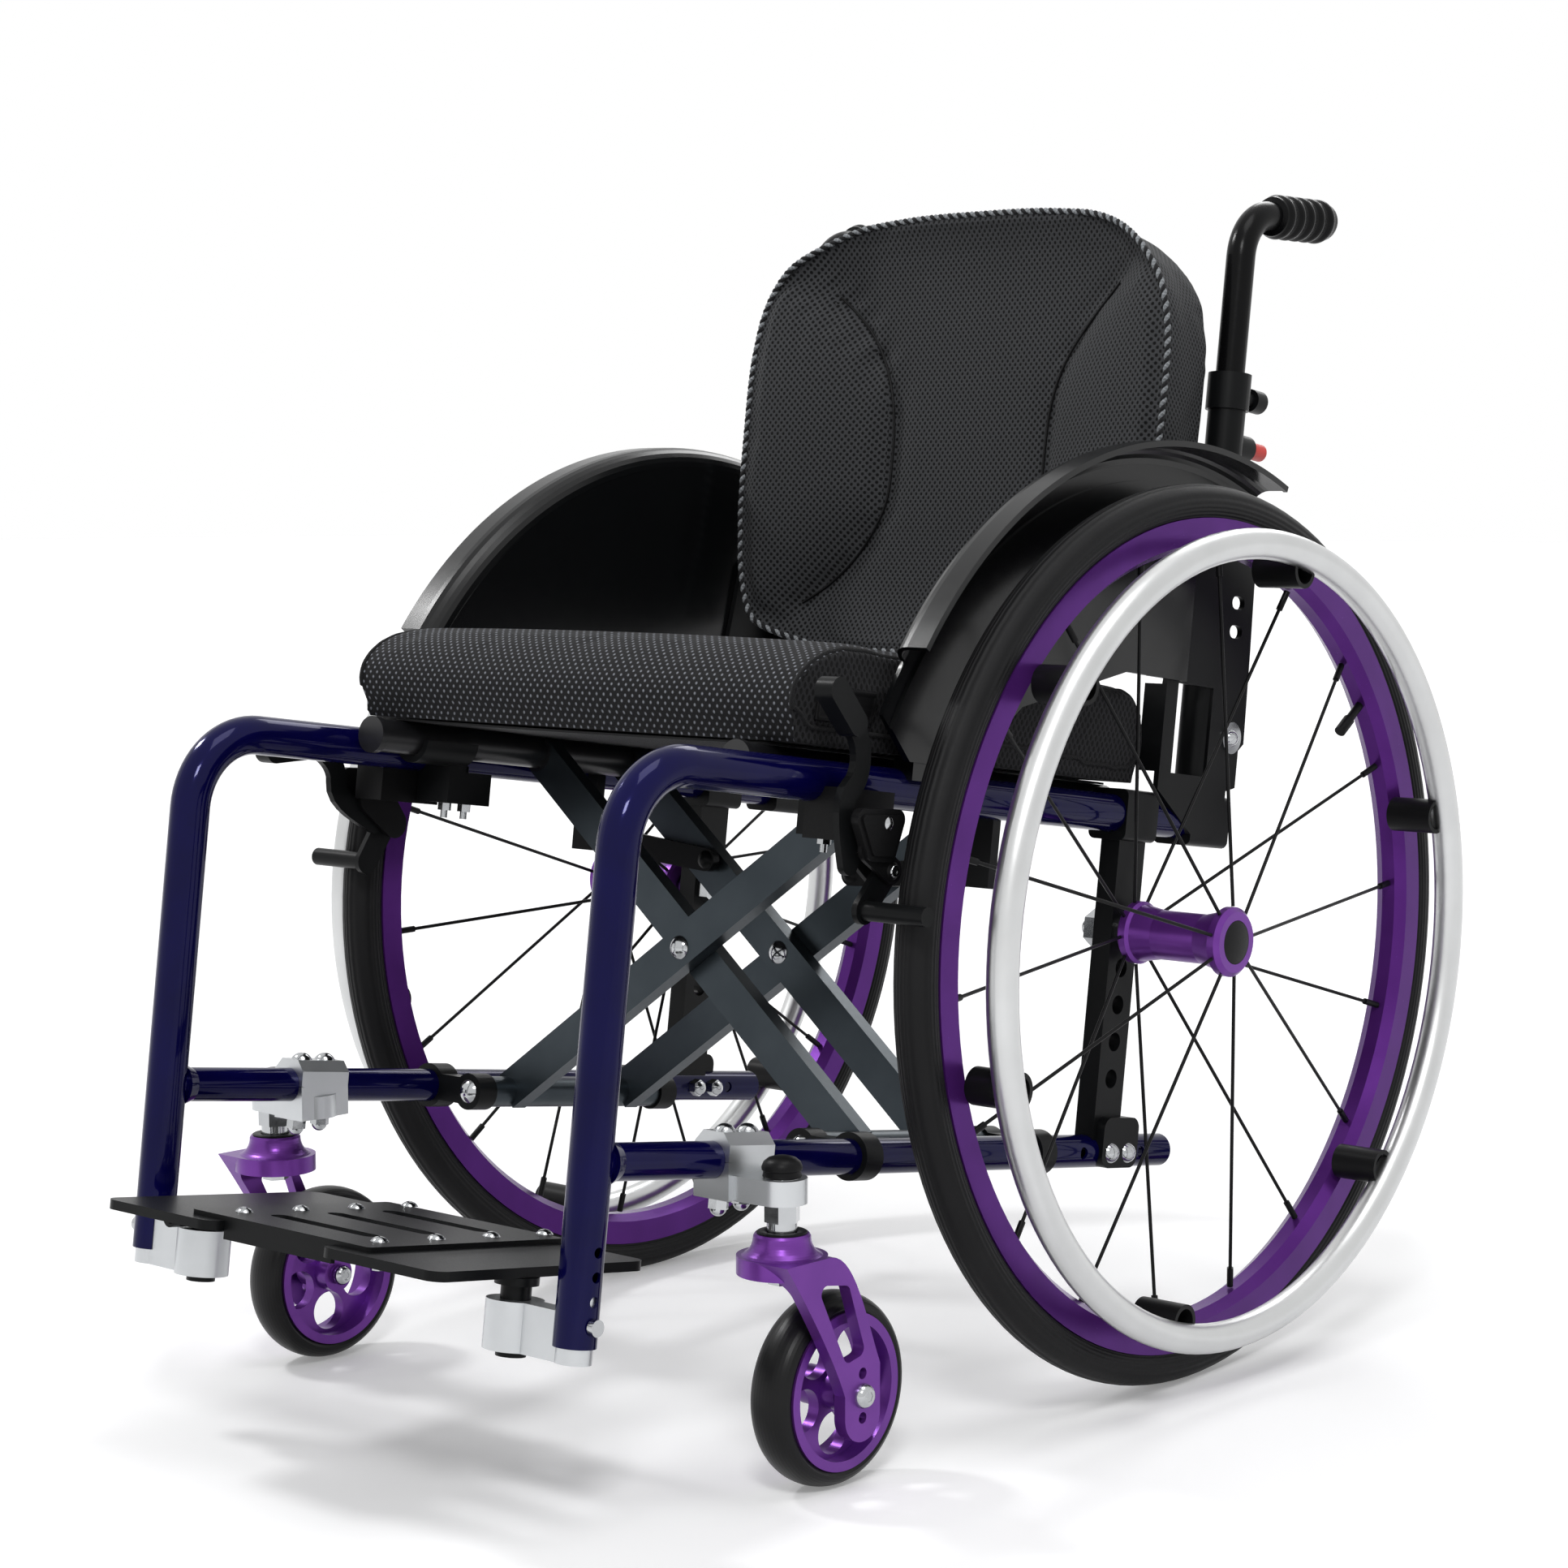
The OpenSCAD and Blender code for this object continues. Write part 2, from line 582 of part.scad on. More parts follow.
// Back bracket: plate and socket on the end of the seat rail, collar, knob and button boss
module back_bracket(s) color(black) side(s) rails() difference() {
    x0 = guard_x - gap - bracket_t;
    top = seat_rise + socket_top;
    union() {
        difference() {
            yz(x0, x0 + bracket_t) polygon([[14, seat_rise + 90], [14, seat_rise + 19], [58, seat_rise - 9],
                [cane_y + 20, seat_rise - 7], [cane_y + 20, seat_rise + 23], [cane_y + 31, seat_rise + 26],
                [cane_y + 31, seat_rise + 52], [cane_y + 37, seat_rise + 57], [cane_y + 35, seat_rise + 120],
                [cane_y + 31, seat_rise + 205], [cane_y - 18, seat_rise + 205], [26, seat_rise + 165]]);
            block(x0 - over, x0 + bracket_t + over, 28, cane_y - 6, seat_rise + 31, seat_rise + 92);
            for (z = [133, 153]) yz(x0 - over, x0 + bracket_t + over)
                strap([cane_y + 12, seat_rise + z], [cane_y + 18, seat_rise + z], 4.5, 4.5);
        }
        block(x0 - 14, x0 + over, 14, 17, seat_rise + 31, seat_rise + 90);
        rod_z(seat_rise + 18, top, frame_x, cane_y, socket_r);
        rod_z(top, top + 25, frame_x, cane_y, socket_r + 2);
        xz(58, seat_end + 6) rounded(frame_x - tube_r - 4, x0 + bracket_t,
            seat_rise - tube_r - 4, seat_rise + tube_r + 6, 5);
        rod_y(cane_y, cane_y + 27, frame_x, button_z, button_r + 3);
        rod_y(cane_y, cane_y + 30, frame_x, top + 11, 5);
        rod_y(cane_y + 26, cane_y + 38, frame_x, top + 11, 8);
    }
    rod_y(0, seat_end + gap, frame_x, seat_rise, tube_r + fit);
    rod_z(seat_rise + 23, top + 30, frame_x, cane_y, cane_r + fit);
    rod_y(cane_y + socket_r + 3, cane_y + 60, frame_x, button_z, button_r + fit);
    rod_x(x0 - over, x0 + 20, 96, seat_rise + 60, bolt_r + hole_fit);
}

module release_button(s) color("#c81e1e") side(s) rails() {
    y0 = cane_y + socket_r + 3 + 5.5;
    rod_y(y0, cane_y + 45, frame_x, button_z, button_r);
}

// Push handle: cane that slides in its socket, bend and grip with finger ridges
module push_handle(s) color(black) side(s) rails() {
    rise = seat_rise + handle_rise;
    bend = 90 - pitch;
    ridges = 5;
    rod_z(seat_rise + 110, rise - cane_bend, frame_x, cane_y, cane_r);
    translate([frame_x, cane_y + cane_bend, rise - cane_bend]) rotate([90, 0, 90]) {
        rotate([0, 0, 180 - bend]) rotate_extrude(angle = bend) translate([cane_bend, 0]) circle(cane_r);
        rotate([0, 0, 180 - bend]) translate([cane_bend, 0, 0]) rotate([90, 0, 0]) rotate_extrude()
            polygon(concat([[0, 0], [cane_r, 0], [cane_r, 3]],
                [for (k = [0 : ridges * 8]) [grip_r - 1 - cos(k * 45), 4 + k * (grip_len - 14) / ridges / 8]],
                [for (t = [15 : 15 : 75]) [(grip_r - 2) * cos(t), grip_len - 10 + 10 * sin(t)]],
                [[0, grip_len]]));
    }
}

// Bolts, nuts, axle and caster stem that stay with the side frame
module frame_hardware(s) color(chrome) side(s) {
    bar_in = frame_x - axle_bar_t / 2;
    bar_out = frame_x + axle_bar_t / 2;
    rails() {
        rod_x(bar_in - 14, hub_out - 12, 0, 0, axle_r);
        translate([bar_in, 0, 0]) rotate([0, -90, 0]) hex_nut(24, 10);
        rod_x(bar_out, hub_in - gap, 0, 0, axle_r + 4);
        translate([bar_in - 14, 0, 0]) rotate([0, -90, 0]) dome(axle_r, 5);
        for (y = foot_bolts) {
            rod_x(frame_x - lower_r - 1, frame_x + lower_r + 4, y, -lower_drop, bolt_r);
            translate([frame_x + lower_r + 3, y, -lower_drop]) rotate([0, 90, 0]) dome(7, 4.5);
            translate([frame_x - lower_r - 0.2, y, -lower_drop]) rotate([0, 90, 0]) acorn(11, 6);
        }
        for (k = [-1, 1]) translate([frame_x, clamp_y + k * clamp_pitch / 2, -lower_drop]) {
            deep = lower_r + arm_t - arm_lift;
            translate([0, 0, -deep - 4]) cylinder(r = bolt_r, h = deep + 22);
            translate([0, 0, 17]) dome(7, 4.5);
            translate([0, 0, k * clamp_pitch / 2 * tan(pitch) - deep - 1.2]) acorn(11, 6);
        }
        rod_x(frame_x + 2, frame_x + tube_r + 3, -front_reach, 13 - front_drop, bolt_r);
        translate([frame_x + tube_r + 0.4, -front_reach, 13 - front_drop]) rotate([0, 90, 0])
            cylinder(r = 5, h = 4);
        for (y = [tube_front - block_len - gap, tube_back + block_len + gap])
            translate([pivot_x, y, -lower_drop]) rotate([y < -bar_front ? 90 : -90, 0, 0]) dome(8, 4);
        for (k = [0, 1]) translate([seat_tube_x + 8, saddle_y + 19 + k * 18, seat_rise - tube_r - 20]) {
            mirror([0, 0, 1]) hex_nut(8, 5);
            mirror([0, 0, 1]) cylinder(r = 2.4, h = 10);
        }
        translate([guard_x - gap, 96, seat_rise + 60]) rotate([0, 90, 0]) {
            translate([0, 0, -bracket_t]) cylinder(r = bolt_r, h = bracket_t + 3);
            cylinder(r = 11, h = 1.5);
            translate([0, 0, 1.5]) dome(6, 4);
        }
        translate([cover_x + cover_t, 7.5 - lever_y, lever_z + 10]) rotate([0, 90, 0]) dome(4, 1.4);
    }
    rod_z(crown_low - 6, arm_top + 4, caster_x, stem_y, stem_r);
    rod_z(arm_low - spacer_h, arm_low, caster_x, stem_y, stem_r + 3);
    translate([caster_x, stem_y, arm_low - 11]) hex_nut(19, 11);
    translate([caster_x, stem_y, crown_low - 6 - gap]) hex_nut(15, 6);
    translate([caster_x, stem_y, arm_top]) dome(11, 9);
}

// Rear wheel
module at_axle(s) side(s) translate([0, axle_y, axle_z]) rotate([0, 90, 0]) children();

rim_floor = rim_r - 10;
bead = rim_w / 2 - 2.5;

module tyre(s) color(black) at_axle(s) translate([0, 0, wheel_x]) rotate_extrude($fn = 120) {
    translate([rim_floor + 0.2, 0.2 - bead]) square([tyre_h, 2 * bead - 0.4]);
    intersection() {
        translate([tyre_r - tyre_w / 2, 0]) circle(d = tyre_w);
        translate([rim_r + 0.2, -tyre_w]) square([2 * tyre_h, 2 * tyre_w]);
    }
}

module rim(s) color(purple) at_axle(s) translate([0, 0, wheel_x]) rotate_extrude($fn = 120)
    polygon([[rim_r - rim_depth, -5], [rim_r - rim_depth, 5], [rim_r - rim_depth + 5, rim_w / 2],
        [rim_r, rim_w / 2], [rim_r, bead], [rim_floor, bead], [rim_floor, -bead], [rim_r, -bead],
        [rim_r, -rim_w / 2], [rim_r - rim_depth + 5, -rim_w / 2]]);

module spokes(s) color(black) at_axle(s) {
    rim_in = rim_r - rim_depth - gap;
    for (k = [0 : 2 * spoke_pairs - 1]) {
        from_x = k % 2 == 0 ? hub_out - 5 : hub_in + 4;
        start = [(k % 2 == 0 ? hub_r : hub_r - 2) + gap, from_x];
        lean = atan2(wheel_x - from_x, rim_in - start[0]);
        length = (rim_in - start[0]) / cos(lean);
        rotate([0, 0, (k + 0.66) * 180 / spoke_pairs]) translate([start[0], 0, from_x])
            rotate([0, 90 - lean, 0]) {
                cylinder(r = spoke_r, h = length - 2);
                translate([0, 0, length - 15]) cylinder(r = 2.2, h = 14);
            }
    }
    rotate([0, 0, 124.5]) translate([rim_in - 30, 0, wheel_x]) rotate([0, 90, 0]) {
        cylinder(r = 3, h = 30);
        cylinder(r = 4, h = 14);
    }
}

module hub(s) color(purple) at_axle(s) {
    bearing_r = 12;
    translate([0, 0, hub_in]) difference() {
        rotate_extrude() polygon([[0, 0], [hub_r - 4, 0], [hub_r - 2, 2], [hub_r - 2, 7], [hub_r - 4, 9],
            [waist_r, 24], [waist_r, hub_len - 24], [hub_r - 3, hub_len - 10], [hub_r, hub_len - 8],
            [hub_r, hub_len - 3], [hub_r - 3, hub_len], [0, hub_len]]);
        translate([0, 0, -over]) cylinder(r = axle_r + 2, h = hub_len + 2);
        translate([0, 0, -over]) cylinder(r = bearing_r, h = 10 + over);
        translate([0, 0, hub_len - 24]) cylinder(r = bearing_r, h = 12);
        translate([0, 0, hub_len - 12]) cylinder(r = hub_r - 8.5, h = 14);
    }
    for (z = [0.5, hub_len - 23.5]) translate([0, 0, hub_in + z]) difference() {
        cylinder(r = bearing_r - 0.02, h = 9);
        translate([0, 0, -over]) cylinder(r = axle_r + fit, h = 12);
    }
}

module hub_button(s) color(black) at_axle(s) translate([0, 0, hub_out - 7]) {
    cylinder(r = hub_r - 8.5 - gap, h = 7);
    translate([0, 0, 7]) dome(hub_r - 8.5 - gap, 1.5);
}

module handrim(s) color(silver) at_axle(s) translate([0, 0, handrim_x])
    rotate_extrude($fn = 120) translate([handrim_r, 0]) circle(handrim_tube);

module handrim_clips(s) color(black) at_axle(s) {
    rim_face = wheel_x + rim_w / 2;
    difference() {
        for (k = [0 : handrim_tabs - 1]) rotate([0, 0, (k + 0.755) * 360 / handrim_tabs])
            translate([handrim_r - handrim_tube, 0, rim_face + 0.1]) difference() {
                cylinder(r = 12, h = handrim_gap + handrim_tube);
                translate([0, 0, -over]) cylinder(r = 9, h = handrim_gap + handrim_tube + 2 * over);
            }
        translate([0, 0, handrim_x]) rotate_extrude($fn = 120) translate([handrim_r, 0])
            circle(handrim_tube + 0.1);
    }
}

// Place on the fork leg: distance behind the stem, share of the way from the axle up to the crown
function leg_at(y, share) = [stem_y + y, caster_r + share * (crown_top - caster_r)];

// Caster fork with its axle, and the caster wheel
module caster_fork(s) color(purple) side(s) {
    axle_to = caster_x - caster_w / 2 - 2;
    y1 = caster_axle_y;
    neck_r = fork_head_r - 6;
    end_r = 16;
    end_z = caster_r - 12;
    difference() {
        union() {
            translate([caster_x, stem_y, crown_top]) rotate_extrude() polygon(concat(
                [[0, -over], [fork_head_r + 1, -over]],
                curve([fork_head_r + 1, 0], [fork_head_r - 4, 2], [neck_r, 7],
                    [neck_r, fork_head_h - 1.5], 8),
                [[neck_r - 1, fork_head_h], [0, fork_head_h]]));
            rod_z(crown_low, crown_top, caster_x, stem_y, fork_head_r + 4);
            intersection() {
                xz(stem_y - 60, y1 + 60) {
                    translate([caster_x, crown_low]) square([leg_out - caster_x, crown_t]);
                    translate([leg_x, 0]) square([fork_t, crown_top]);
                    difference() {
                        translate([leg_x - 10, crown_low - 10]) square([10 + over, 10 + over]);
                        translate([leg_x - 10, crown_low - 10]) circle(10);
                    }
                }
                yz(caster_x - over, leg_out + over) {
                    polygon(concat(
                        curve(leg_at(-27, 1), leg_at(-14, 0.8), leg_at(trail - 27, 0.33), [y1 - end_r, caster_r + 2], 14),
                        [[y1 - end_r + tuck, end_z], [y1 + end_r - tuck, end_z]],
                        curve([y1 + end_r, caster_r + 17], leg_at(trail + 4, 0.5), leg_at(34, 0.99), leg_at(12, 1), 14)));
                    translate([y1, end_z]) circle(end_r);
                }
            }
        }
        rod_z(crown_low - over, head_top + over, caster_x, stem_y, stem_r + fit);
        yz(leg_x - over, leg_out + over)
            lozenge([leg_at(8.5, 0.76), leg_at(24.5, 0.73), leg_at(trail - 4, 0.33), leg_at(trail - 12.5, 0.31)], 5);
        for (k = [-1, 1]) rod_x(leg_x - over, leg_out + over, y1, caster_r + k * 13.5, 3.5);
    }
    rod_x(axle_to, leg_out, y1, caster_r, caster_pin_r);
    translate([leg_out, y1, caster_r]) rotate([0, 90, 0]) dome(7.2, 5);
    translate([axle_to, y1, caster_r]) rotate([0, -90, 0]) dome(6.5, 4.5);
    rod_x(caster_x + caster_w / 2 + gap, leg_x + over, y1, caster_r, 7);
}

module at_caster(s) side(s) translate([caster_x, caster_axle_y, caster_r]) rotate([0, 90, 0]) children();

module caster_tyre(s) color(black) at_caster(s) rotate_extrude($fn = 96) {
    seat = caster_rim_r + 0.1;
    half = caster_w / 2 - 1;
    polygon(concat([[seat, half * 0.9], [seat, -half * 0.9]], [for (t = [-80 : 10 : 80])
        [seat + (caster_r - seat) * pow(cos(t), 0.8), half * sin(t)]]));
}

module caster_wheel(s) color(purple) at_caster(s) {
    half = caster_w / 2 - 1;
    boss = 12;
    window = (caster_rim_r - 6 - boss) / 2 - 2;
    difference() {
        rotate_extrude($fn = 96) {
            translate([caster_rim_r - 6, -half]) square([6, 2 * half]);
            translate([caster_pin_r + 3, -4]) square([caster_rim_r - caster_pin_r - 6, 8]);
            translate([caster_pin_r + 3, -half]) square([boss - caster_pin_r - 3, 2 * half]);
        }
        for (k = [0 : 4]) rotate([0, 0, k * 72]) translate([boss + 2 + window, 0, -10]) cylinder(r = window, h = 20);
    }
    for (z = [-half - 0.5, half - 6.5]) translate([0, 0, z]) difference() {
        cylinder(r = caster_pin_r + 3 - 0.02, h = 7);
        translate([0, 0, -over]) cylinder(r = caster_pin_r + fit, h = 9);
    }
}

// Cross brace: each brace has a lower tube, two bars and a seat tube
seat_tube_front = -360;
seat_tube_back = 10;

module brace_bar(y) translate([-pivot_x, y, -lower_drop]) rotate([0, -theta, 0])
    translate([0, -bar_t / 2, -bar_w / 2]) cube([(pivot_x + seat_tube_x) / cos(theta), bar_t, bar_w]);

// Lower tube on the -X side, seat tube on the +X side
module brace(y_front, y_rear) rails() difference() {
    union() {
        rod_y(tube_front, tube_back, -pivot_x, -lower_drop, brace_tube_r);
        rod_y(tube_front - block_len + 1, tube_back + block_len - 1, -pivot_x, -lower_drop, pivot_pin_r);
        for (y = [y_front, y_rear]) brace_bar(y);
        rod_y(seat_tube_front, seat_tube_back, seat_tube_x, seat_tube_z, seat_tube_r);
        rod_y(seat_tube_front - 5, seat_tube_front, seat_tube_x, seat_tube_z, seat_tube_r + 1.2);
    }
    rod_y(-front_reach, 0, 0, cross_z, cross_r + fit);
    rod_y(seat_tube_front + 5, seat_tube_back + over, seat_tube_x, seat_tube_z, seat_tube_r - wall);
}

module brace_a() color(gunmetal) brace(-bar_front, -bar_rear);
module brace_b() color(gunmetal) mirror([1, 0, 0])
    brace(bar_t + 0.5 - bar_front, -bar_t - 0.5 - bar_rear);

module cross_bolts() color(chrome) rails() {
    long = 2 * bar_t + 0.5;
    for (y = [-bar_front - bar_t / 2, -bar_rear - 1.5 * bar_t - 0.5]) translate([0, y, cross_z]) {
        rotate([-90, 0, 0]) cylinder(r = cross_r, h = long + 6);
        rotate([90, 0, 0]) translate([0, 0, gap]) dome(8, 4.5);
        rotate([90, 0, 0]) translate([0, 0, -over]) cylinder(r = cross_r, h = 2);
        translate([0, long + gap, 0]) rotate([-90, 0, 0]) hex_nut(13, 6);
    }
}

// Link from the seat rail bracket to the far brace
module fold_link(s) color(black) side(s) rails() {
    brace_face = -bar_rear - 1.5 * bar_t - 0.5;
    difference() {
        xz(link_y, link_y + link_t) strap([link_x, link_z], link_end, 9, 8);
        rod_y(link_y - over, link_y + link_t + over, link_x, link_z, cross_r + fit);
    }
    rod_y(link_y + link_t - over, brace_face - gap, link_end[0], link_end[1], 6);
    translate([link_end[0], link_y, link_end[1]]) rotate([90, 0, 0]) dome(6.5, 4);
}

// Footplate: two side plates under a slotted centre plate
screw_x = 61;
screw_ys = [for (k = [0 : 3]) -plate_front + 37 + k * 45];

module screw_holes() for (x = [-screw_x, screw_x], y = screw_ys)
    rod_z(-plate_drop - 20, 20 - plate_drop, x, y, bolt_r + hole_fit);

module footplate_sides() color(black) rails() {
    difference() {
        for (s = [-1, 1]) translate([0, 0, -side_bottom]) linear_extrude(plate_t)
            rounded(s > 0 ? screw_x - 12 : -plate_x, s > 0 ? plate_x : 12 - screw_x,
                -plate_front, -plate_back, 10);
        screw_holes();
    }
    for (y = [-front_reach - 24, 13 - front_reach]) difference() {
        union() {
            rod_y(y, y + 11, -hinge_x, hinge_z, hinge_r);
            block(-hinge_x - hinge_r, hinge_r - hinge_x, y, y + 11, hinge_z, over - side_bottom);
        }
        rod_y(y - over, y + 12, -hinge_x, hinge_z, hinge_pin_r + fit);
    }
}

module footplate_centre() color(black) rails() difference() {
    lip = 14;
    front = -plate_front + 12;
    union() {
        translate([0, 0, -plate_drop]) linear_extrude(centre_t) rounded(-centre_x, centre_x, front, -plate_back, 3);
        block(12.5 - screw_x, screw_x - 12.5, front, front + centre_t,
            centre_t - plate_drop - lip, over - plate_drop);
    }
    for (k = [0 : 2]) translate([0, 0, -plate_drop - over]) linear_extrude(centre_t + 2 * over)
        strap([-40, front + 36 + k * 45], [40, front + 36 + k * 45], 6, 6);
    screw_holes();
}

module footplate_screws() color(chrome) rails() for (x = [-screw_x, screw_x], y = screw_ys)
    translate([x, y, centre_t - plate_drop]) {
        dome(5.5, 3);
        translate([0, 0, -plate_t - centre_t - 8]) cylinder(r = bolt_r, h = plate_t + centre_t + 8 + over);
        translate([0, 0, -plate_t - centre_t - 5]) hex_nut(9, 5);
    }

// Soft pieces: a closed pad between a face grid and a rear grid with one outline
grid = 22;
function span(i) = 2 * i / grid - 1;
function pull(k, v) = sqrt(1 - k * pow(v, 4) / 2);

// Rings of grid indices along the outline, in order
outline = concat([for (i = [0 : grid - 1]) [i, 0]], [for (j = [0 : grid - 1]) [grid, j]],
    [for (i = [grid : -1 : 1]) [i, grid]], [for (j = [grid : -1 : 1]) [0, j]]);

module pad(face, rear, waist) {
    n = grid + 1;
    count = n * n;
    ring = len(outline);
    points = concat(
        [for (j = [0 : grid], i = [0 : grid]) face(span(i), span(j))],
        [for (j = [0 : grid], i = [0 : grid]) rear(span(i), span(j))],
        [for (p = outline) waist(span(p[0]), span(p[1]))]);
    function at(p) = p[1] * n + p[0];
    faces = concat(
        [for (j = [0 : grid - 1], i = [0 : grid - 1], half = [0, 1]) half == 0
            ? [at([i, j]), at([i + 1, j + 1]), at([i + 1, j])]
            : [at([i, j]), at([i, j + 1]), at([i + 1, j + 1])]],
        [for (j = [0 : grid - 1], i = [0 : grid - 1], half = [0, 1]) half == 0
            ? [count + at([i, j]), count + at([i + 1, j]), count + at([i + 1, j + 1])]
            : [count + at([i, j]), count + at([i + 1, j + 1]), count + at([i, j + 1])]],
        [for (k = [0 : ring - 1], part = [0 : 3]) let (
            a = at(outline[k]), b = at(outline[(k + 1) % ring]),
            wa = 2 * count + k, wb = 2 * count + (k + 1) % ring)
            part == 0 ? [a, b, wb] : part == 1 ? [a, wb, wa]
            : part == 2 ? [wa, wb, count + b] : [wa, count + b, count + a]]);
    polyhedron(points, faces);
}

// Seat cushion: a big roll along the front, a smaller one behind, sides drawn in at the middle
module seat_cushion() {
    a = seat_w / 2;
    b = seat_d / 2;
    nose = 0.38 * seat_h;
    corner = 0.06;
    function roll(d, r) = d < r ? sqrt(1 - pow(1 - d / r, 2)) : 1;
    function across(u, v, inset) = (a - inset) * sin(90 * u) * pull(corner, v);
    function along(v, inset) = cushion_rear - b + (b - inset) * sin(90 * v) + inset / 2;
    function rise(x, y) = roll(y - cushion_rear + seat_d, front_roll) * roll(cushion_rear - y, 30)
        * (0.78 + 0.16 * roll(a - abs(x), 14) + 0.06 * (1 - pow(x / a, 2)));
    color("#202022") rails() pad(
        function (u, v) [across(u, v, 0), along(v, 0),
            cushion_z + nose + (seat_h - nose) * rise(a * sin(90 * u), along(v, 0))],
        function (u, v) [across(u, v, 4), along(v, 7), cushion_z],
        function (u, v) [across(u, v, 3), along(v, 1.5), cushion_z + nose / 2]);
}

// Seat sling stretched over the two seat tubes
module seat_sling() color("#18181a") rails() {
    half = seat_tube_x + 4;
    difference() {
        block(-half, half, 28 - seat_d, seat_tube_back - 4, sling_z, sling_z + sling_t);
        block(4 - half, half - 4, 27 - seat_d, 36 - seat_d, sling_z - over, sling_z + 0.8);
    }
}

// Back cushion: two padded wings reach forward on either side of a dished middle, with a seam between
module back_cushion() {
    a = back_w / 2;
    b = back_h / 2;
    front = cane_y - socket_r - 0.9 - gap - back_d;
    function round_at(v) = v > 0 ? 0.7 : 0.42;
    function shape(u, v, inset) = [(a - inset) * u * pull(round_at(v), v), 0,
        back_z + b + (b - inset) * v * pull(round_at(v), u)];
    function seam(v) = a * (0.363 + 0.66 * pow(max(v + 0.1, 0), 2.6) + 1.13 * pow(max(-v - 0.25, 0), 1.85));
    function wing(x, v) = min(1, max(0, abs(x) - seam(v)) / max(1, a - seam(v)));
    function face(u, v) = shape(u, v, 0) + [0, front + (1 - pow(u, 6)) * (1 - 0.5 * pow(v, 6)) * (
        back_dish * pow(1 - wing(a * u, v), 1.7) + 3 * exp(-pow((a * abs(u) - seam(v)) / 9, 2))), 0];
    color("#1e1e20") rails() pad(
        function (u, v) face(u, v),
        function (u, v) shape(u, v, 6) + [0, front + back_d, 0],
        function (u, v) shape(u, v, 5) + [0, front + back_d / 2, 0]);
}

// The two sides of each piece, then the pieces at the middle
side_frame(1);  // side_frame_left
side_frame(-1);  // side_frame_right
axle_bar(1);  // axle_bar_left
axle_bar(-1);  // axle_bar_right
caster_mount(1);  // caster_mount_left
caster_mount(-1);  // caster_mount_right
foot_block(1);  // foot_block_left
foot_block(-1);  // foot_block_right
foot_post(1);  // foot_post_left
foot_post(-1);  // foot_post_right
brace_seats(1);  // brace_seats_left
brace_seats(-1);  // brace_seats_right
brake_clamp(1);  // brake_clamp_left
brake_clamp(-1);  // brake_clamp_right
side_guard(1);  // side_guard_left
side_guard(-1);  // side_guard_right
back_bracket(1);  // back_bracket_left
back_bracket(-1);  // back_bracket_right
frame_hardware(1);  // frame_hardware_left
frame_hardware(-1);  // frame_hardware_right
push_handle(1);  // push_handle_left
push_handle(-1);  // push_handle_right
release_button(1);  // release_button_left
release_button(-1);  // release_button_right
tyre(1);  // tyre_left
tyre(-1);  // tyre_right
rim(1);  // rim_left
rim(-1);  // rim_right
spokes(1);  // spokes_left
spokes(-1);  // spokes_right
hub(1);  // hub_left
hub(-1);  // hub_right
handrim(1);  // handrim_left
handrim(-1);  // handrim_right
handrim_clips(1);  // handrim_tabs_left
handrim_clips(-1);  // handrim_tabs_right
hub_button(1);  // hub_button_left
hub_button(-1);  // hub_button_right
caster_fork(1);  // caster_fork_left
caster_fork(-1);  // caster_fork_right
caster_tyre(1);  // caster_tyre_left
caster_tyre(-1);  // caster_tyre_right
caster_wheel(1);  // caster_wheel_left
caster_wheel(-1);  // caster_wheel_right
brake_lever(1);  // brake_lever_left
brake_lever(-1);  // brake_lever_right
brake_arm(1);  // brake_arm_left
brake_arm(-1);  // brake_arm_right
fold_link(1);  // fold_link_left
fold_link(-1);  // fold_link_right
brace_a();
brace_b();
cross_bolts();
footplate_centre();
footplate_sides();
footplate_screws();
seat_sling();
seat_cushion();
back_cushion();
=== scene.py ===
import math

import bpy
import numpy as np
from mathutils import Matrix, Vector


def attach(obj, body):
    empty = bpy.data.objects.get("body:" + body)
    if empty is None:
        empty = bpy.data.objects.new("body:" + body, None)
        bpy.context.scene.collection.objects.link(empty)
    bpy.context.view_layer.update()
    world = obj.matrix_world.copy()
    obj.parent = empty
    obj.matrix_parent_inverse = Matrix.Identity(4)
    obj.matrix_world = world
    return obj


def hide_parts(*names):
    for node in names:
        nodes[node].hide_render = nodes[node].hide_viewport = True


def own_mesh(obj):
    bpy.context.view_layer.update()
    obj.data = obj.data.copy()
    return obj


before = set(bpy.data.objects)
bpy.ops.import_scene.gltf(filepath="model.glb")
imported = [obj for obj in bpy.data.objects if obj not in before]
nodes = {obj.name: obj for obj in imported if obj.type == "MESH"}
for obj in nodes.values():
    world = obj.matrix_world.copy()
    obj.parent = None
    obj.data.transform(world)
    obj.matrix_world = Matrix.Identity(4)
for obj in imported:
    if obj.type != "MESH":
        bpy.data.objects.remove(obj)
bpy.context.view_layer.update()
bpy.ops.object.select_all(action="DESELECT")
print("frame loaded:", len(nodes), "nodes")

# The rails slope down towards the back; their origin is the rear axle
chair = {"pitch": math.radians(7.7), "axleY": 0.14328, "axleZ": 0.298}


def railPoint(x, y, z):
    c, s = math.cos(chair["pitch"]), math.sin(chair["pitch"])
    y, z = y / 1000, z / 1000
    return Vector((x / 1000, chair["axleY"] + y * c + z * s, chair["axleZ"] - y * s + z * c))


def hexColor(code):
    parts = [int(code[i:i + 2], 16) / 255 for i in (1, 3, 5)]
    return [p / 12.92 if p <= 0.04045 else ((p + 0.055) / 1.055) ** 2.4 for p in parts] + [1.0]


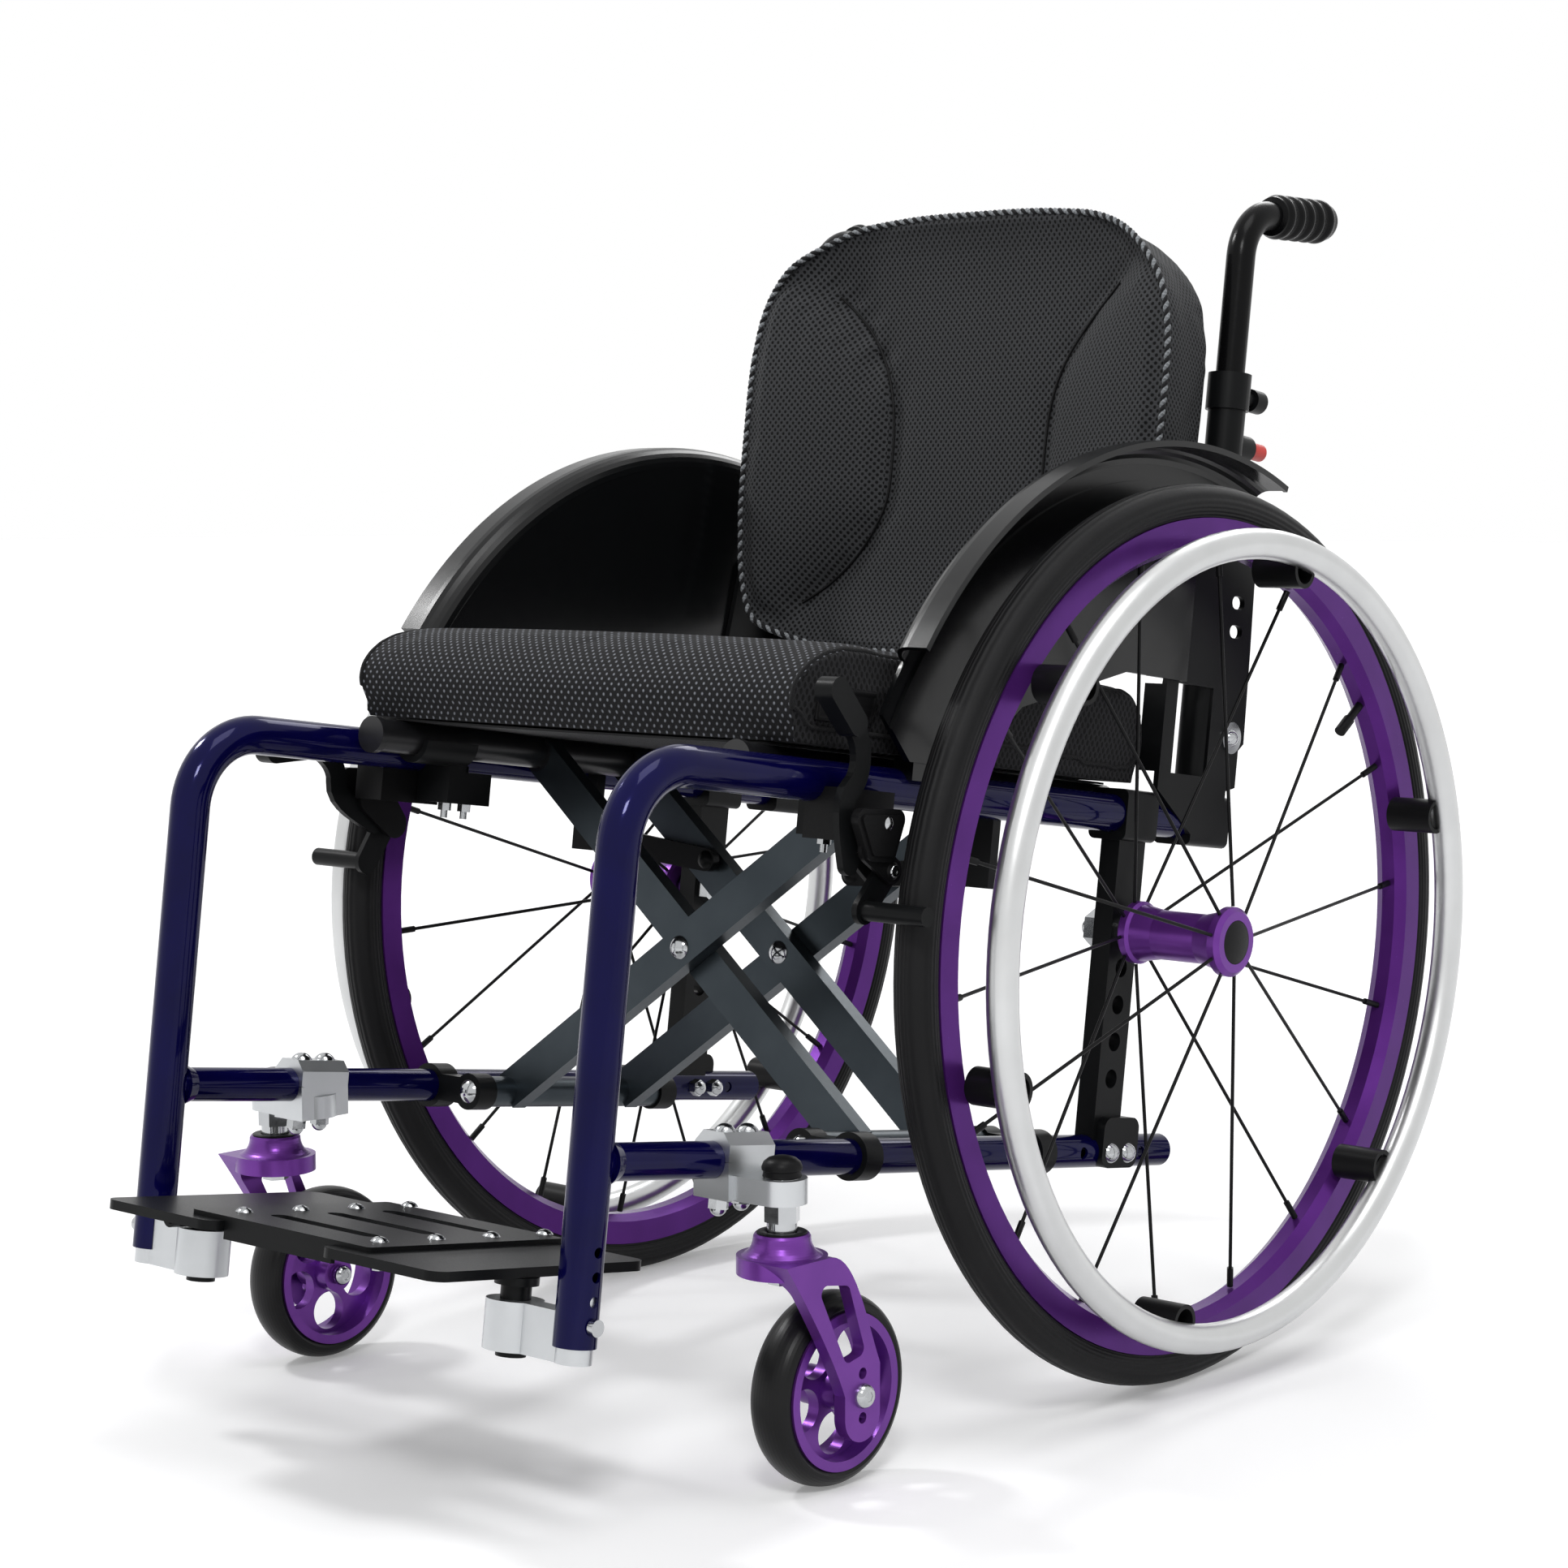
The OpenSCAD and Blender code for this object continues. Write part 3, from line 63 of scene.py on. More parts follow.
# Adds one node with its settings; an input is a value or the socket it is linked from
def addNode(tree, kind, inputs=None, **settings):
    made = tree.nodes.new(kind)
    for name, value in settings.items():
        setattr(made, name, value)
    for name, value in (inputs or {}).items():
        if isinstance(value, bpy.types.NodeSocket):
            tree.links.new(value, made.inputs[name])
        else:
            made.inputs[name].default_value = value
    return made


def newMaterial(name):
    made = bpy.data.materials.new(name)
    made.use_nodes = True
    made.node_tree.nodes.clear()
    return made, made.node_tree


def closeMaterial(tree, shader):
    addNode(tree, "ShaderNodeOutputMaterial", {"Surface": shader.outputs[0]})


# Metal, plastic and rubber finishes: a fine grain breaks up the gloss, and slow drifts tint the colour
tintMm = 35.714
bumpMm = 1.0
finishes = {
    # candy lacquer: a metal ground seen through tinted clear coat, so deep blue with crisp highlights
    "candyBlueLacquer": {"low": "#04032e", "high": "#080646", "metallic": 0.25, "rough": (0.12, 0.18),
                         "grainMm": 6.0, "bump": 0.01, "coat": 0.22, "specular": 0.04},
    # powder coat on steel and alloy: black, half matt, with a fine orange-peel skin
    "blackPowderCoat": {"low": "#0a0b0c", "high": "#121314", "metallic": 0.0, "rough": (0.28, 0.42),
                        "grainMm": 0.9, "bump": 0.05, "coat": 0.0, "specular": 0.11},
    # bead-blasted and clear-anodised alloy: pale grey with a broad, dull shine
    "satinSilverAnodised": {"low": "#b9bcbe", "high": "#cdcfd1", "metallic": 1.0, "rough": (0.3, 0.4),
                            "grainMm": 1.2, "bump": 0.03, "coat": 0.0, "specular": 0.5},
    # hard-anodised flat bar: dark grey with a cool, soft sheen; the seat tube on it is coated black,
    # inside the given radius of that tube's line
    "gunmetalAnodised": {"low": "#333a3f", "high": "#474e53", "metallic": 0.85, "rough": (0.28, 0.4),
                         "grainMm": 3.0, "bump": 0.02, "coat": 0.0, "specular": 0.5,
                         "coatedTube": {"xMm": 162.0, "zMm": 86.0, "radiusMm": 13.5, "hex": "#101012"}},
    # dyed anodising over turned and milled alloy: clear violet with a satin shine
    "purpleAnodised": {"low": "#5a2780", "high": "#773a9c", "metallic": 0.6, "rough": (0.26, 0.36),
                       "grainMm": 2.0, "bump": 0.02, "coat": 0.0, "specular": 0.5},
    # the rims: the same dyed anodising as the turned pieces, its colour darkened as painted shade
    "violetRimPaintedShade": {"low": "#481c66", "high": "#5c2a80", "metallic": 0.5, "rough": (0.2, 0.3),
                      "grainMm": 2.0, "bump": 0.01, "coat": 0.0, "specular": 0.1},
    # drawn alloy tube, polished and clear-anodised: long bright streaks along the ring
    "polishedHandrimAlloy": {"low": "#c2c3c3", "high": "#d2d3d3", "metallic": 1.0, "rough": (0.28, 0.36),
                             "grainMm": 1.5, "bump": 0.02, "coat": 0.0, "specular": 0.5},
    # plated steel fasteners: sharp small reflections
    "chromedSteel": {"low": "#a6a8aa", "high": "#bec0c2", "metallic": 1.0, "rough": (0.1, 0.2),
                     "grainMm": 3.0, "bump": 0.01, "coat": 0.0, "specular": 0.5},
    # glass-filled nylon from a spark-eroded mould: dull black with a fine grain
    "mouldedBlackNylon": {"low": "#0c0c0d", "high": "#141415", "metallic": 0.0, "rough": (0.32, 0.46),
                          "grainMm": 0.7, "bump": 0.08, "coat": 0.0, "specular": 0.12},
    # vacuum-formed guard: near black, polished enough to carry soft reflections
    "glossBlackGuard": {"low": "#050607", "high": "#08090a", "metallic": 0.0, "rough": (0.2, 0.28),
                        "grainMm": 8.0, "bump": 0.003, "coat": 0.0, "specular": 0.3},
    # lacquered tube and dipped grip: smooth black with narrow highlights
    "glossBlackGrip": {"low": "#070708", "high": "#0d0d0e", "metallic": 0.0, "rough": (0.18, 0.28),
                       "grainMm": 4.0, "bump": 0.02, "coat": 0.0, "specular": 0.1},
    # moulded nylon knob: warm red, slightly rough to hold
    "redKnurledNylon": {"low": "#b01a14", "high": "#d63024", "metallic": 0.0, "rough": (0.35, 0.5),
                        "grainMm": 1.2, "bump": 0.1, "coat": 0.0, "specular": 0.5},
    # drawn and blackened steel wire: thin dark lines
    "blackSpokeSteel": {"low": "#0d0d0e", "high": "#161617", "metallic": 0.0, "rough": (0.3, 0.4),
                        "grainMm": 2.0, "bump": 0.01, "coat": 0.0, "specular": 0.12},
    # carbon-filled rubber: soft black with a dusty skin and moulded rings that run round the wheel
    "tyreRubber": {"low": "#121213", "high": "#1b1b1c", "metallic": 0.0, "rough": (0.46, 0.6),
                   "grainMm": 2.2, "bump": 0.08, "coat": 0.0, "specular": 0.13, "ringMm": 3.2},
    # cast polyurethane: smooth black with a broad soft highlight
    "casterPolyurethane": {"low": "#0b0b0c", "high": "#101011", "metallic": 0.0, "rough": (0.32, 0.4),
                           "grainMm": 5.0, "bump": 0.01, "coat": 0.0, "specular": 0.2},
}


def makeFinish(name):
    spec = finishes[name]
    made, tree = newMaterial(name)
    place = addNode(tree, "ShaderNodeTexCoord").outputs["Object"]
    grain = addNode(tree, "ShaderNodeTexNoise", {"Vector": place, "Scale": 1000 / spec["grainMm"],
                    "Detail": 3.0})
    tint = addNode(tree, "ShaderNodeTexNoise", {"Vector": place, "Scale": 1000 / tintMm, "Detail": 4.0})
    colour = addNode(tree, "ShaderNodeMix", {0: tint.outputs[0], 6: hexColor(spec["low"]),
                     7: hexColor(spec["high"])}, data_type="RGBA").outputs[2]
    rough = addNode(tree, "ShaderNodeMapRange", {"Value": grain.outputs[0], "To Min": spec["rough"][0],
                    "To Max": spec["rough"][1]})
    bump = addNode(tree, "ShaderNodeBump", {"Height": grain.outputs[0], "Strength": spec["bump"],
                   "Distance": bumpMm / 1000})
    metal = spec["metallic"]
    if "ringMm" in spec:
        bump = addRings(tree, place, spec["ringMm"], bump)
    if "coatedTube" in spec:
        bare = addTubeMask(tree, place, spec["coatedTube"])
        coated = hexColor(spec["coatedTube"]["hex"])
        colour = addNode(tree, "ShaderNodeMix", {0: bare, 6: coated, 7: colour}, data_type="RGBA").outputs[2]
        metal = addNode(tree, "ShaderNodeMath", {0: bare, 1: metal}, operation="MULTIPLY").outputs[0]
    shader = addNode(tree, "ShaderNodeBsdfPrincipled", {"Base Color": colour, "Metallic": metal,
                     "Roughness": rough.outputs[0], "Normal": bump.outputs[0],
                     "Coat Weight": spec["coat"], "Coat Roughness": 0.04,
                     "Specular IOR Level": spec["specular"]})
    closeMaterial(tree, shader)
    return made


# Rings round the rear axle, stepped by the distance from it and across the tread
def addRings(tree, place, pitchMm, base):
    apart = addNode(tree, "ShaderNodeVectorMath", {0: place, 1: (0, chair["axleY"], chair["axleZ"])},
                    operation="SUBTRACT")
    flat = addNode(tree, "ShaderNodeVectorMath", {0: apart.outputs[0], 1: (0, 1, 1)},
                   operation="MULTIPLY")
    radius = addNode(tree, "ShaderNodeVectorMath", {0: flat.outputs[0]}, operation="LENGTH")
    across = addNode(tree, "ShaderNodeSeparateXYZ", {0: place})
    total = addNode(tree, "ShaderNodeMath", {0: radius.outputs["Value"], 1: across.outputs[0]},
                    operation="ADD")
    turn = addNode(tree, "ShaderNodeMath", {0: total.outputs[0], 1: 2000 * math.pi / pitchMm},
                   operation="MULTIPLY")
    wave = addNode(tree, "ShaderNodeMath", {0: turn.outputs[0]}, operation="SINE")
    return addNode(tree, "ShaderNodeBump", {"Height": wave.outputs[0], "Strength": 0.5,
                   "Distance": 0.0005, "Normal": base.outputs[0]})


# 0 inside the coated tube's radius and 1 outside it, in the rails' own frame
def addTubeMask(tree, place, tube):
    level = addNode(tree, "ShaderNodeMapping", {"Vector": place,
                    "Location": (0, chair["axleY"], chair["axleZ"]),
                    "Rotation": (-chair["pitch"], 0, 0)}, vector_type="TEXTURE")
    folded = addNode(tree, "ShaderNodeVectorMath", {0: level.outputs[0]}, operation="ABSOLUTE")
    flat = addNode(tree, "ShaderNodeVectorMath", {0: folded.outputs[0], 1: (1, 0, 1)},
                   operation="MULTIPLY")
    apart = addNode(tree, "ShaderNodeVectorMath", {0: flat.outputs[0], 1: (tube["xMm"] / 1000, 0,
                    tube["zMm"] / 1000)}, operation="DISTANCE")
    return addNode(tree, "ShaderNodeMath", {0: apart.outputs["Value"], 1: tube["radiusMm"] / 1000},
                   operation="GREATER_THAN").outputs[0]


looks = {name: makeFinish(name) for name in finishes}
print("finishes made:", len(looks))

# Cloth on the piece's own map: a staggered lattice of dots or holes, with its pitch in mm across and along;
# the darker colour of sunk holes is painted shade.
# The threads are finer than the picture can show, so they are drawn coarser
wornMm = 90.909
weaveMm = 0.8
fabrics = {
    # knitted polyester with raised dots: black with a fine light stipple
    "dottedSeatKnit": {"yarn": "#121214", "mark": "#7c7f86", "pitchMm": (6.2, 7.0), "markSize": 0.18,
                       "lift": 0.5, "rough": 0.82, "threadMm": 1.1},
    # open warp-knit on the cushion's ends: dull black, its deep holes painted near black as the shade inside
    # them
    "coarseEndMesh": {"yarn": "#222224", "mark": "#050506", "pitchMm": (5.2, 7.4), "markSize": 0.36,
                      "lift": -0.9, "rough": 0.8, "threadMm": 1.3},
    # spacer fabric: charcoal yarn round small upright holes, painted near black as the shade inside them
    "blackSpacerMesh": {"yarn": "#3b3c3e", "mark": "#060607", "pitchMm": (4.7, 5.4), "markSize": 0.31,
                        "lift": -1.2, "rough": 0.84, "threadMm": 1.2},
    # polyester cord strand: grey with a little sheen, the gaps between its threads painted darker as shade
    "greyBraidedCord": {"yarn": "#9a9ea2", "mark": "#3a3c3e", "pitchMm": (2.6, 2.2), "markSize": 0.3,
                        "lift": -0.6, "rough": 0.7, "threadMm": 1.0},
    # plain-woven nylon: tight black cloth, the gaps between its threads painted darker as shade
    "blackSlingWeave": {"yarn": "#202022", "mark": "#101011", "pitchMm": (2.4, 2.4), "markSize": 0.32,
                        "lift": -0.4, "rough": 0.7, "threadMm": 1.2},
}


def makeFabric(name):
    spec = fabrics[name]
    made, tree = newMaterial(name)
    place = addNode(tree, "ShaderNodeTexCoord")
    across, along = (1000 * math.sqrt(2) / pitch for pitch in spec["pitchMm"])
    lattice = addNode(tree, "ShaderNodeMapping", {"Vector": place.outputs["UV"],
                      "Scale": (across, along, 1), "Rotation": (0, 0, math.pi / 4)})
    cells = addNode(tree, "ShaderNodeTexVoronoi", {"Vector": lattice.outputs[0], "Scale": 1.0,
                    "Randomness": 0.0}, voronoi_dimensions="2D")
    mark = addNode(tree, "ShaderNodeMapRange", {"Value": cells.outputs["Distance"],
                   "From Min": spec["markSize"] - 0.08, "From Max": spec["markSize"] + 0.08,
                   "To Min": 1.0, "To Max": 0.0})
    thread = addNode(tree, "ShaderNodeTexNoise", {"Vector": place.outputs["Object"],
                     "Scale": 1000 / spec["threadMm"], "Detail": 2.0})
    drift = addNode(tree, "ShaderNodeTexNoise", {"Vector": place.outputs["Object"],
                    "Scale": 1000 / wornMm, "Detail": 4.0})
    yarn = hexColor(spec["yarn"])
    worn = addNode(tree, "ShaderNodeMix", {0: drift.outputs[0], 6: [c * 0.8 for c in yarn],
                   7: [c * 1.25 for c in yarn]}, data_type="RGBA")
    shade = addNode(tree, "ShaderNodeMix", {0: thread.outputs[0], 6: worn.outputs[2], 7: yarn},
                    data_type="RGBA")
    # the mark's colour: light dots on the seat knit, painted shade in the sunk holes and gaps of the other
    # cloths
    colour = addNode(tree, "ShaderNodeMix", {0: mark.outputs[0], 6: shade.outputs[2],
                     7: hexColor(spec["mark"])}, data_type="RGBA")
    raised = addNode(tree, "ShaderNodeMath", {0: mark.outputs[0], 1: spec["lift"], 2: thread.outputs[0]},
                     operation="MULTIPLY_ADD")
    bump = addNode(tree, "ShaderNodeBump", {"Height": raised.outputs[0], "Strength": 0.5,
                   "Distance": weaveMm / 1000})
    shader = addNode(tree, "ShaderNodeBsdfPrincipled", {"Base Color": colour.outputs[2],
                     "Roughness": spec["rough"], "Normal": bump.outputs[0], "Sheen Weight": 0.04,
                     "Sheen Roughness": 0.5, "Specular IOR Level": 0.15})
    closeMaterial(tree, shader)
    return made


looks.update({name: makeFabric(name) for name in fabrics})
print("fabrics made:", len(fabrics))

# Which finish each kind of node takes; a name stands for its left and right pieces
finishOf = {
    "side_frame": "candyBlueLacquer", "axle_bar": "blackPowderCoat",
    "caster_mount": "satinSilverAnodised", "foot_block": "satinSilverAnodised",
    "foot_post": "blackPowderCoat", "brace_seats": "blackPowderCoat",
    "brake_clamp": "mouldedBlackNylon", "side_guard": "glossBlackGuard",
    "back_bracket": "blackPowderCoat", "frame_hardware": "chromedSteel",
    "push_handle": "glossBlackGrip", "release_button": "redKnurledNylon", "tyre": "tyreRubber",
    # the rims take the violet finish darkened by painted shade
    "rim": "violetRimPaintedShade", "spokes": "blackSpokeSteel", "hub": "purpleAnodised",
    "handrim": "polishedHandrimAlloy", "handrim_tabs": "mouldedBlackNylon",
    "hub_button": "mouldedBlackNylon", "caster_fork": "purpleAnodised",
    "caster_tyre": "casterPolyurethane", "caster_wheel": "purpleAnodised",
    "brake_lever": "blackPowderCoat", "brake_arm": "blackPowderCoat", "fold_link": "blackPowderCoat",
    "brace_a": "gunmetalAnodised", "brace_b": "gunmetalAnodised", "cross_bolts": "chromedSteel",
    "footplate_centre": "blackPowderCoat", "footplate_sides": "blackPowderCoat",
    "footplate_screws": "chromedSteel", "seat_sling": "mouldedBlackNylon",
    "seat_cushion": "mouldedBlackNylon", "back_cushion": "mouldedBlackNylon",
}
for name, node in nodes.items():
    kind = name.removesuffix("_left").removesuffix("_right")
    node.data.materials.clear()
    node.data.materials.append(looks[finishOf[kind]])
print("finishes on the frame's nodes")

# Rail frame in metres: soft pieces are shaped level in it, then set into place
railTurn = Matrix.Rotation(-chair["pitch"], 4, "X")
railFrame = Matrix.Translation((0, chair["axleY"], chair["axleZ"])) @ railTurn
mergeMm = 0.05


def pickOnly(piece):
    bpy.ops.object.select_all(action="DESELECT")
    piece.select_set(True)
    bpy.context.view_layer.objects.active = piece


def applyModifier(piece, kind, **settings):
    pickOnly(piece)
    made = piece.modifiers.new(kind.lower(), kind)
    for name, value in settings.items():
        setattr(made, name, value)
    bpy.ops.object.modifier_apply(modifier=made.name)


def getPoints(piece):
    flat = np.zeros(len(piece.data.vertices) * 3)
    piece.data.vertices.foreach_get("co", flat)
    return flat.reshape(-1, 3)


def getNormals(piece):
    flat = np.zeros(len(piece.data.vertices) * 3)
    piece.data.vertices.foreach_get("normal", flat)
    return flat.reshape(-1, 3)


def setPoints(piece, points):
    piece.data.vertices.foreach_set("co", points.ravel())
    piece.data.update()


# A UV map in metres from one (u, v) pair for each corner of the faces
def setUv(piece, pairs):
    layer = piece.data.uv_layers.new(name="clothMap")
    layer.data.foreach_set("uv", np.asarray(pairs, float).ravel())


def cornerIndex(piece):
    index = np.zeros(len(piece.data.loops), int)
    piece.data.loops.foreach_get("vertex_index", index)
    return index


def faceFacts(piece):
    count = len(piece.data.polygons)
    normals = np.zeros(count * 3)
    sizes = np.zeros(count, int)
    piece.data.polygons.foreach_get("normal", normals)
    piece.data.polygons.foreach_get("loop_total", sizes)
    return normals.reshape(-1, 3), sizes


# A padded piece starts from the cushion's own solid, a little smaller, because its foam swells
def startPad(nodeName, pieceName, shrinkMm, voxelMm):
    piece = bpy.data.objects.new(pieceName, nodes[nodeName].data.copy())
    bpy.context.scene.collection.objects.link(piece)
    piece.data.transform(railFrame.inverted())
    piece.data.materials.clear()
    pickOnly(piece)
    bpy.ops.object.mode_set(mode="EDIT")
    bpy.ops.mesh.select_all(action="SELECT")
    bpy.ops.mesh.remove_doubles(threshold=mergeMm / 1000)
    bpy.ops.mesh.normals_make_consistent(inside=False)
    bpy.ops.object.mode_set(mode="OBJECT")
    piece.data.remesh_voxel_size = voxelMm / 1000
    bpy.ops.object.voxel_remesh()
    bpy.ops.object.mode_set(mode="EDIT")
    bpy.ops.mesh.select_all(action="SELECT")
    bpy.ops.transform.shrink_fatten(value=-shrinkMm / 1000)
    bpy.ops.object.mode_set(mode="OBJECT")
    return piece


# Foam under a stretched cover: a short cloth run under pressure, each point held to a small move
foam = {"pressure": 4, "frames": 20}


def swellPad(piece, capMm):
    before = getPoints(piece)
    pickOnly(piece)
    cloth = piece.modifiers.new("foamPressure", "CLOTH")
    cloth.settings.use_pressure = True
    cloth.settings.uniform_pressure_force = foam["pressure"]
    cloth.settings.effector_weights.gravity = 0
    for step in range(1, foam["frames"] + 1):
        bpy.context.scene.frame_set(step)
    bpy.ops.object.modifier_apply(modifier=cloth.name)
    bpy.context.scene.frame_set(1)
    move = getPoints(piece) - before
    length = np.linalg.norm(move, axis=1)[:, None]
    setPoints(piece, before + move * np.minimum(1, capMm / 1000 / np.maximum(length, 1e-9)))


# Draws the cover in along a sewn line; only faces that look the given way are moved
def pressSeam(piece, line, facing, depthMm, widthMm):
    points = getPoints(piece)
    towards = getNormals(piece) @ np.array(facing)
    near = np.full(len(points), 1e9)
    for a, b in zip(line[:-1], line[1:]):
        a, b = np.array(a), np.array(b)
        along = np.clip(((points - a) @ (b - a)) / max((b - a) @ (b - a), 1e-12), 0, 1)
        near = np.minimum(near, np.linalg.norm(points - (a + along[:, None] * (b - a)), axis=1))
    push = depthMm / 1000 * np.exp(-(near * 1000 / widthMm) ** 2) * np.clip(towards * 3, 0, 1)
    setPoints(piece, points - push[:, None] * np.array(facing))


def placePiece(piece, body, look, smooth=True):
    piece.data.transform(railFrame)
    for one in look:
        piece.data.materials.append(one)
    if smooth:
        pickOnly(piece)
        bpy.ops.object.shade_smooth()
    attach(piece, body)


# A round tube along points, as a curve with a round section that is then made a mesh
def makeTube(name, points, radiusMm, closed, sides=2):
    made = bpy.data.curves.new(name, "CURVE")
    made.dimensions = "3D"
    made.bevel_depth = radiusMm / 1000
    made.bevel_resolution = sides
    made.use_fill_caps = True
    line = made.splines.new("POLY")
    line.points.add(len(points) - 1)
    for spot, point in zip(line.points, points):
        spot.co = (*point, 1)
    line.use_cyclic_u = closed
    piece = bpy.data.objects.new(name, made)
    bpy.context.scene.collection.objects.link(piece)
    pickOnly(piece)
    bpy.ops.object.convert(target="MESH")
    return bpy.context.object


# Seat cushion: dotted knit over foam, rolled at the front, coarse mesh on its two ends
seatPad = {"shrinkMm": 3.0, "voxelMm": 5.0, "capMm": 3.0, "frontMm": -357.0, "rollMm": 61.0,
           "noseMm": 124.8, "topMm": 165.1, "bottomMm": 99.3, "underMm": 108.0, "endMm": 191.0,
           "endTurn": 0.62, "weltMm": 1.5}


# Length along the cover from the nose, over the roll and along the top, so the dots keep their pitch
def seatLength(y, z):
    deep, tall = seatPad["rollMm"] / 1000, (seatPad["topMm"] - seatPad["noseMm"]) / 1000
    centre = seatPad["frontMm"] / 1000 + deep
    turns = np.linspace(0, math.pi / 2, 91)
    steps = np.hypot(np.diff(deep * np.cos(turns)), np.diff(tall * np.sin(turns)))
    lengths = np.concatenate([[0], np.cumsum(steps)])
    turn = np.arctan2((z - seatPad["noseMm"] / 1000) / tall, (centre - y) / deep)
    rolled = np.interp(turn, turns, lengths)
    below = np.minimum(z - seatPad["noseMm"] / 1000, 0)
    return np.where(y < centre, rolled + below, lengths[-1] + y - centre)


def makeSeatCushion():
    piece = startPad("seat_cushion", "seatCushion", seatPad["shrinkMm"], seatPad["voxelMm"])
    swellPad(piece, seatPad["capMm"])
    applyModifier(piece, "SUBSURF", levels=1, render_levels=1)
    # The underside lies flat on the sling
    points = getPoints(piece)
    flat = np.clip((-getNormals(piece)[:, 2] - 0.3) / 0.4, 0, 1) * (points[:, 2] < seatPad["underMm"] / 1000)
    points[:, 2] += flat * (seatPad["bottomMm"] / 1000 - points[:, 2])
    setPoints(piece, points)
    end = seatPad["endMm"] / 1000
    welts = []
    for side in (-1, 1):
        pickOnly(piece)
        bpy.ops.object.duplicate()
        bpy.ops.object.mode_set(mode="EDIT")
        bpy.ops.mesh.select_all(action="SELECT")
        bpy.ops.mesh.bisect(plane_co=(side * end, 0, 0), plane_no=(1, 0, 0), clear_inner=True,
                            clear_outer=True)
        bpy.ops.object.mode_set(mode="OBJECT")
        bpy.ops.object.convert(target="CURVE")
        ring = bpy.context.object
        ring.data.bevel_depth = seatPad["weltMm"] / 1000
        ring.data.bevel_resolution = 2
        bpy.ops.object.convert(target="MESH")
        welt = bpy.context.object
        welt.name = "seatWeltLeft" if side > 0 else "seatWeltRight"
        welts.append(welt)
    normals, sizes = faceFacts(piece)
    ends = np.abs(normals[:, 0]) > seatPad["endTurn"]
    piece.data.polygons.foreach_set("material_index", ends.astype(int))
    points = getPoints(piece)[cornerIndex(piece)]
    isEnd = np.repeat(ends, sizes)
    setUv(piece, np.where(isEnd[:, None], points[:, 1:], np.stack(
        [points[:, 0], seatLength(points[:, 1], points[:, 2])], axis=1)))
    skin = getPoints(piece)
    placePiece(piece, "seat", [looks["dottedSeatKnit"], looks["coarseEndMesh"]])
    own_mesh(piece)
    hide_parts("seat_cushion")
    for welt in welts:
        setUv(welt, getPoints(welt)[cornerIndex(welt)][:, 1:])
        placePiece(welt, "seat", [looks["coarseEndMesh"]])
        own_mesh(welt)
    print("seat cushion:", len(piece.data.polygons), "faces")
    return skin


# The seat's pieces are set on the seat body, and the back's pieces on the right side frame
seatSkin = makeSeatCushion()

# Back cushion: spacer mesh over foam, two padded wings, a seam beside each and a cord round its edge.
# A seam runs over a share of the half height; its place is a share of the half width that flares at both ends
backPad = {"shrinkMm": 1.0, "voxelMm": 5.0, "capMm": 3.0, "halfWidthMm": 190.0, "halfHeightMm": 157.0,
           "middleMm": 344.0, "topCorner": 0.7, "lowCorner": 0.42, "frontMm": 1.8, "dishMm": 36.0,
           "dropMm": 9.0, "seamRun": (-0.8, 0.66), "seamShare": 0.363, "seamDeepMm": 5.0, "seamWideMm": 3.2,
           "threadMm": 1.0, "cordMm": 2.4, "cordSteps": 60, "strandMm": 1.55, "twistMm": 8.2}


def backOutline(u, v, insetMm=0.0):
    corner = backPad["topCorner"] if v > 0 else backPad["lowCorner"]
    x = (backPad["halfWidthMm"] - insetMm) * u * math.sqrt(1 - corner * v ** 4 / 2)
    z = (backPad["halfHeightMm"] - insetMm) * v * math.sqrt(1 - corner * u ** 4 / 2)
    return x / 1000, (backPad["middleMm"] + z + dropBelow(z)) / 1000


# The lower edge of the cover hangs a little below the cushion's solid
def dropBelow(height):
    return -backPad["dropMm"] * np.minimum(height / backPad["halfHeightMm"], 0) ** 2


def makeBackCushion():
    piece = startPad("back_cushion", "backCushion", backPad["shrinkMm"], backPad["voxelMm"])
    swellPad(piece, backPad["capMm"])
    applyModifier(piece, "SUBSURF", levels=1, render_levels=1)
    points = getPoints(piece)
    points[:, 2] += dropBelow(points[:, 2] * 1000 - backPad["middleMm"]) / 1000
    setPoints(piece, points)
    seams = []
    low, high = backPad["seamRun"]
    for side in (-1, 1):
        line = []
        for v in np.linspace(low, high, 41):
            flare = 0.66 * max(v + 0.1, 0) ** 2.6 + 1.13 * max(-v - 0.25, 0) ** 1.85
            share = backPad["seamShare"] + flare
            x, z = backOutline(side * share, v)
            front = points[(np.abs(points[:, 0] - x) < 0.006) & (np.abs(points[:, 2] - z) < 0.006)]
            if len(front):
                line.append((x, front[:, 1].min(), z))
        pressSeam(piece, line, (0, -1, 0), backPad["seamDeepMm"], backPad["seamWideMm"])
        seams.append(line)
    pickOnly(piece)
    bpy.ops.object.mode_set(mode="EDIT")
    bpy.ops.mesh.select_all(action="SELECT")
    bpy.ops.uv.cube_project(cube_size=1.0, correct_aspect=False, scale_to_bounds=False)
    bpy.ops.object.mode_set(mode="OBJECT")
    skin = getPoints(piece)
    placePiece(piece, "frame_right", [looks["blackSpacerMesh"]])
    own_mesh(piece)
    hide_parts("back_cushion")
    for name, line in zip(("backSeamRight", "backSeamLeft"), seams):
        makeBackSeam(name, line, skin)
    print("back cushion:", len(piece.data.polygons), "faces")
    return skin


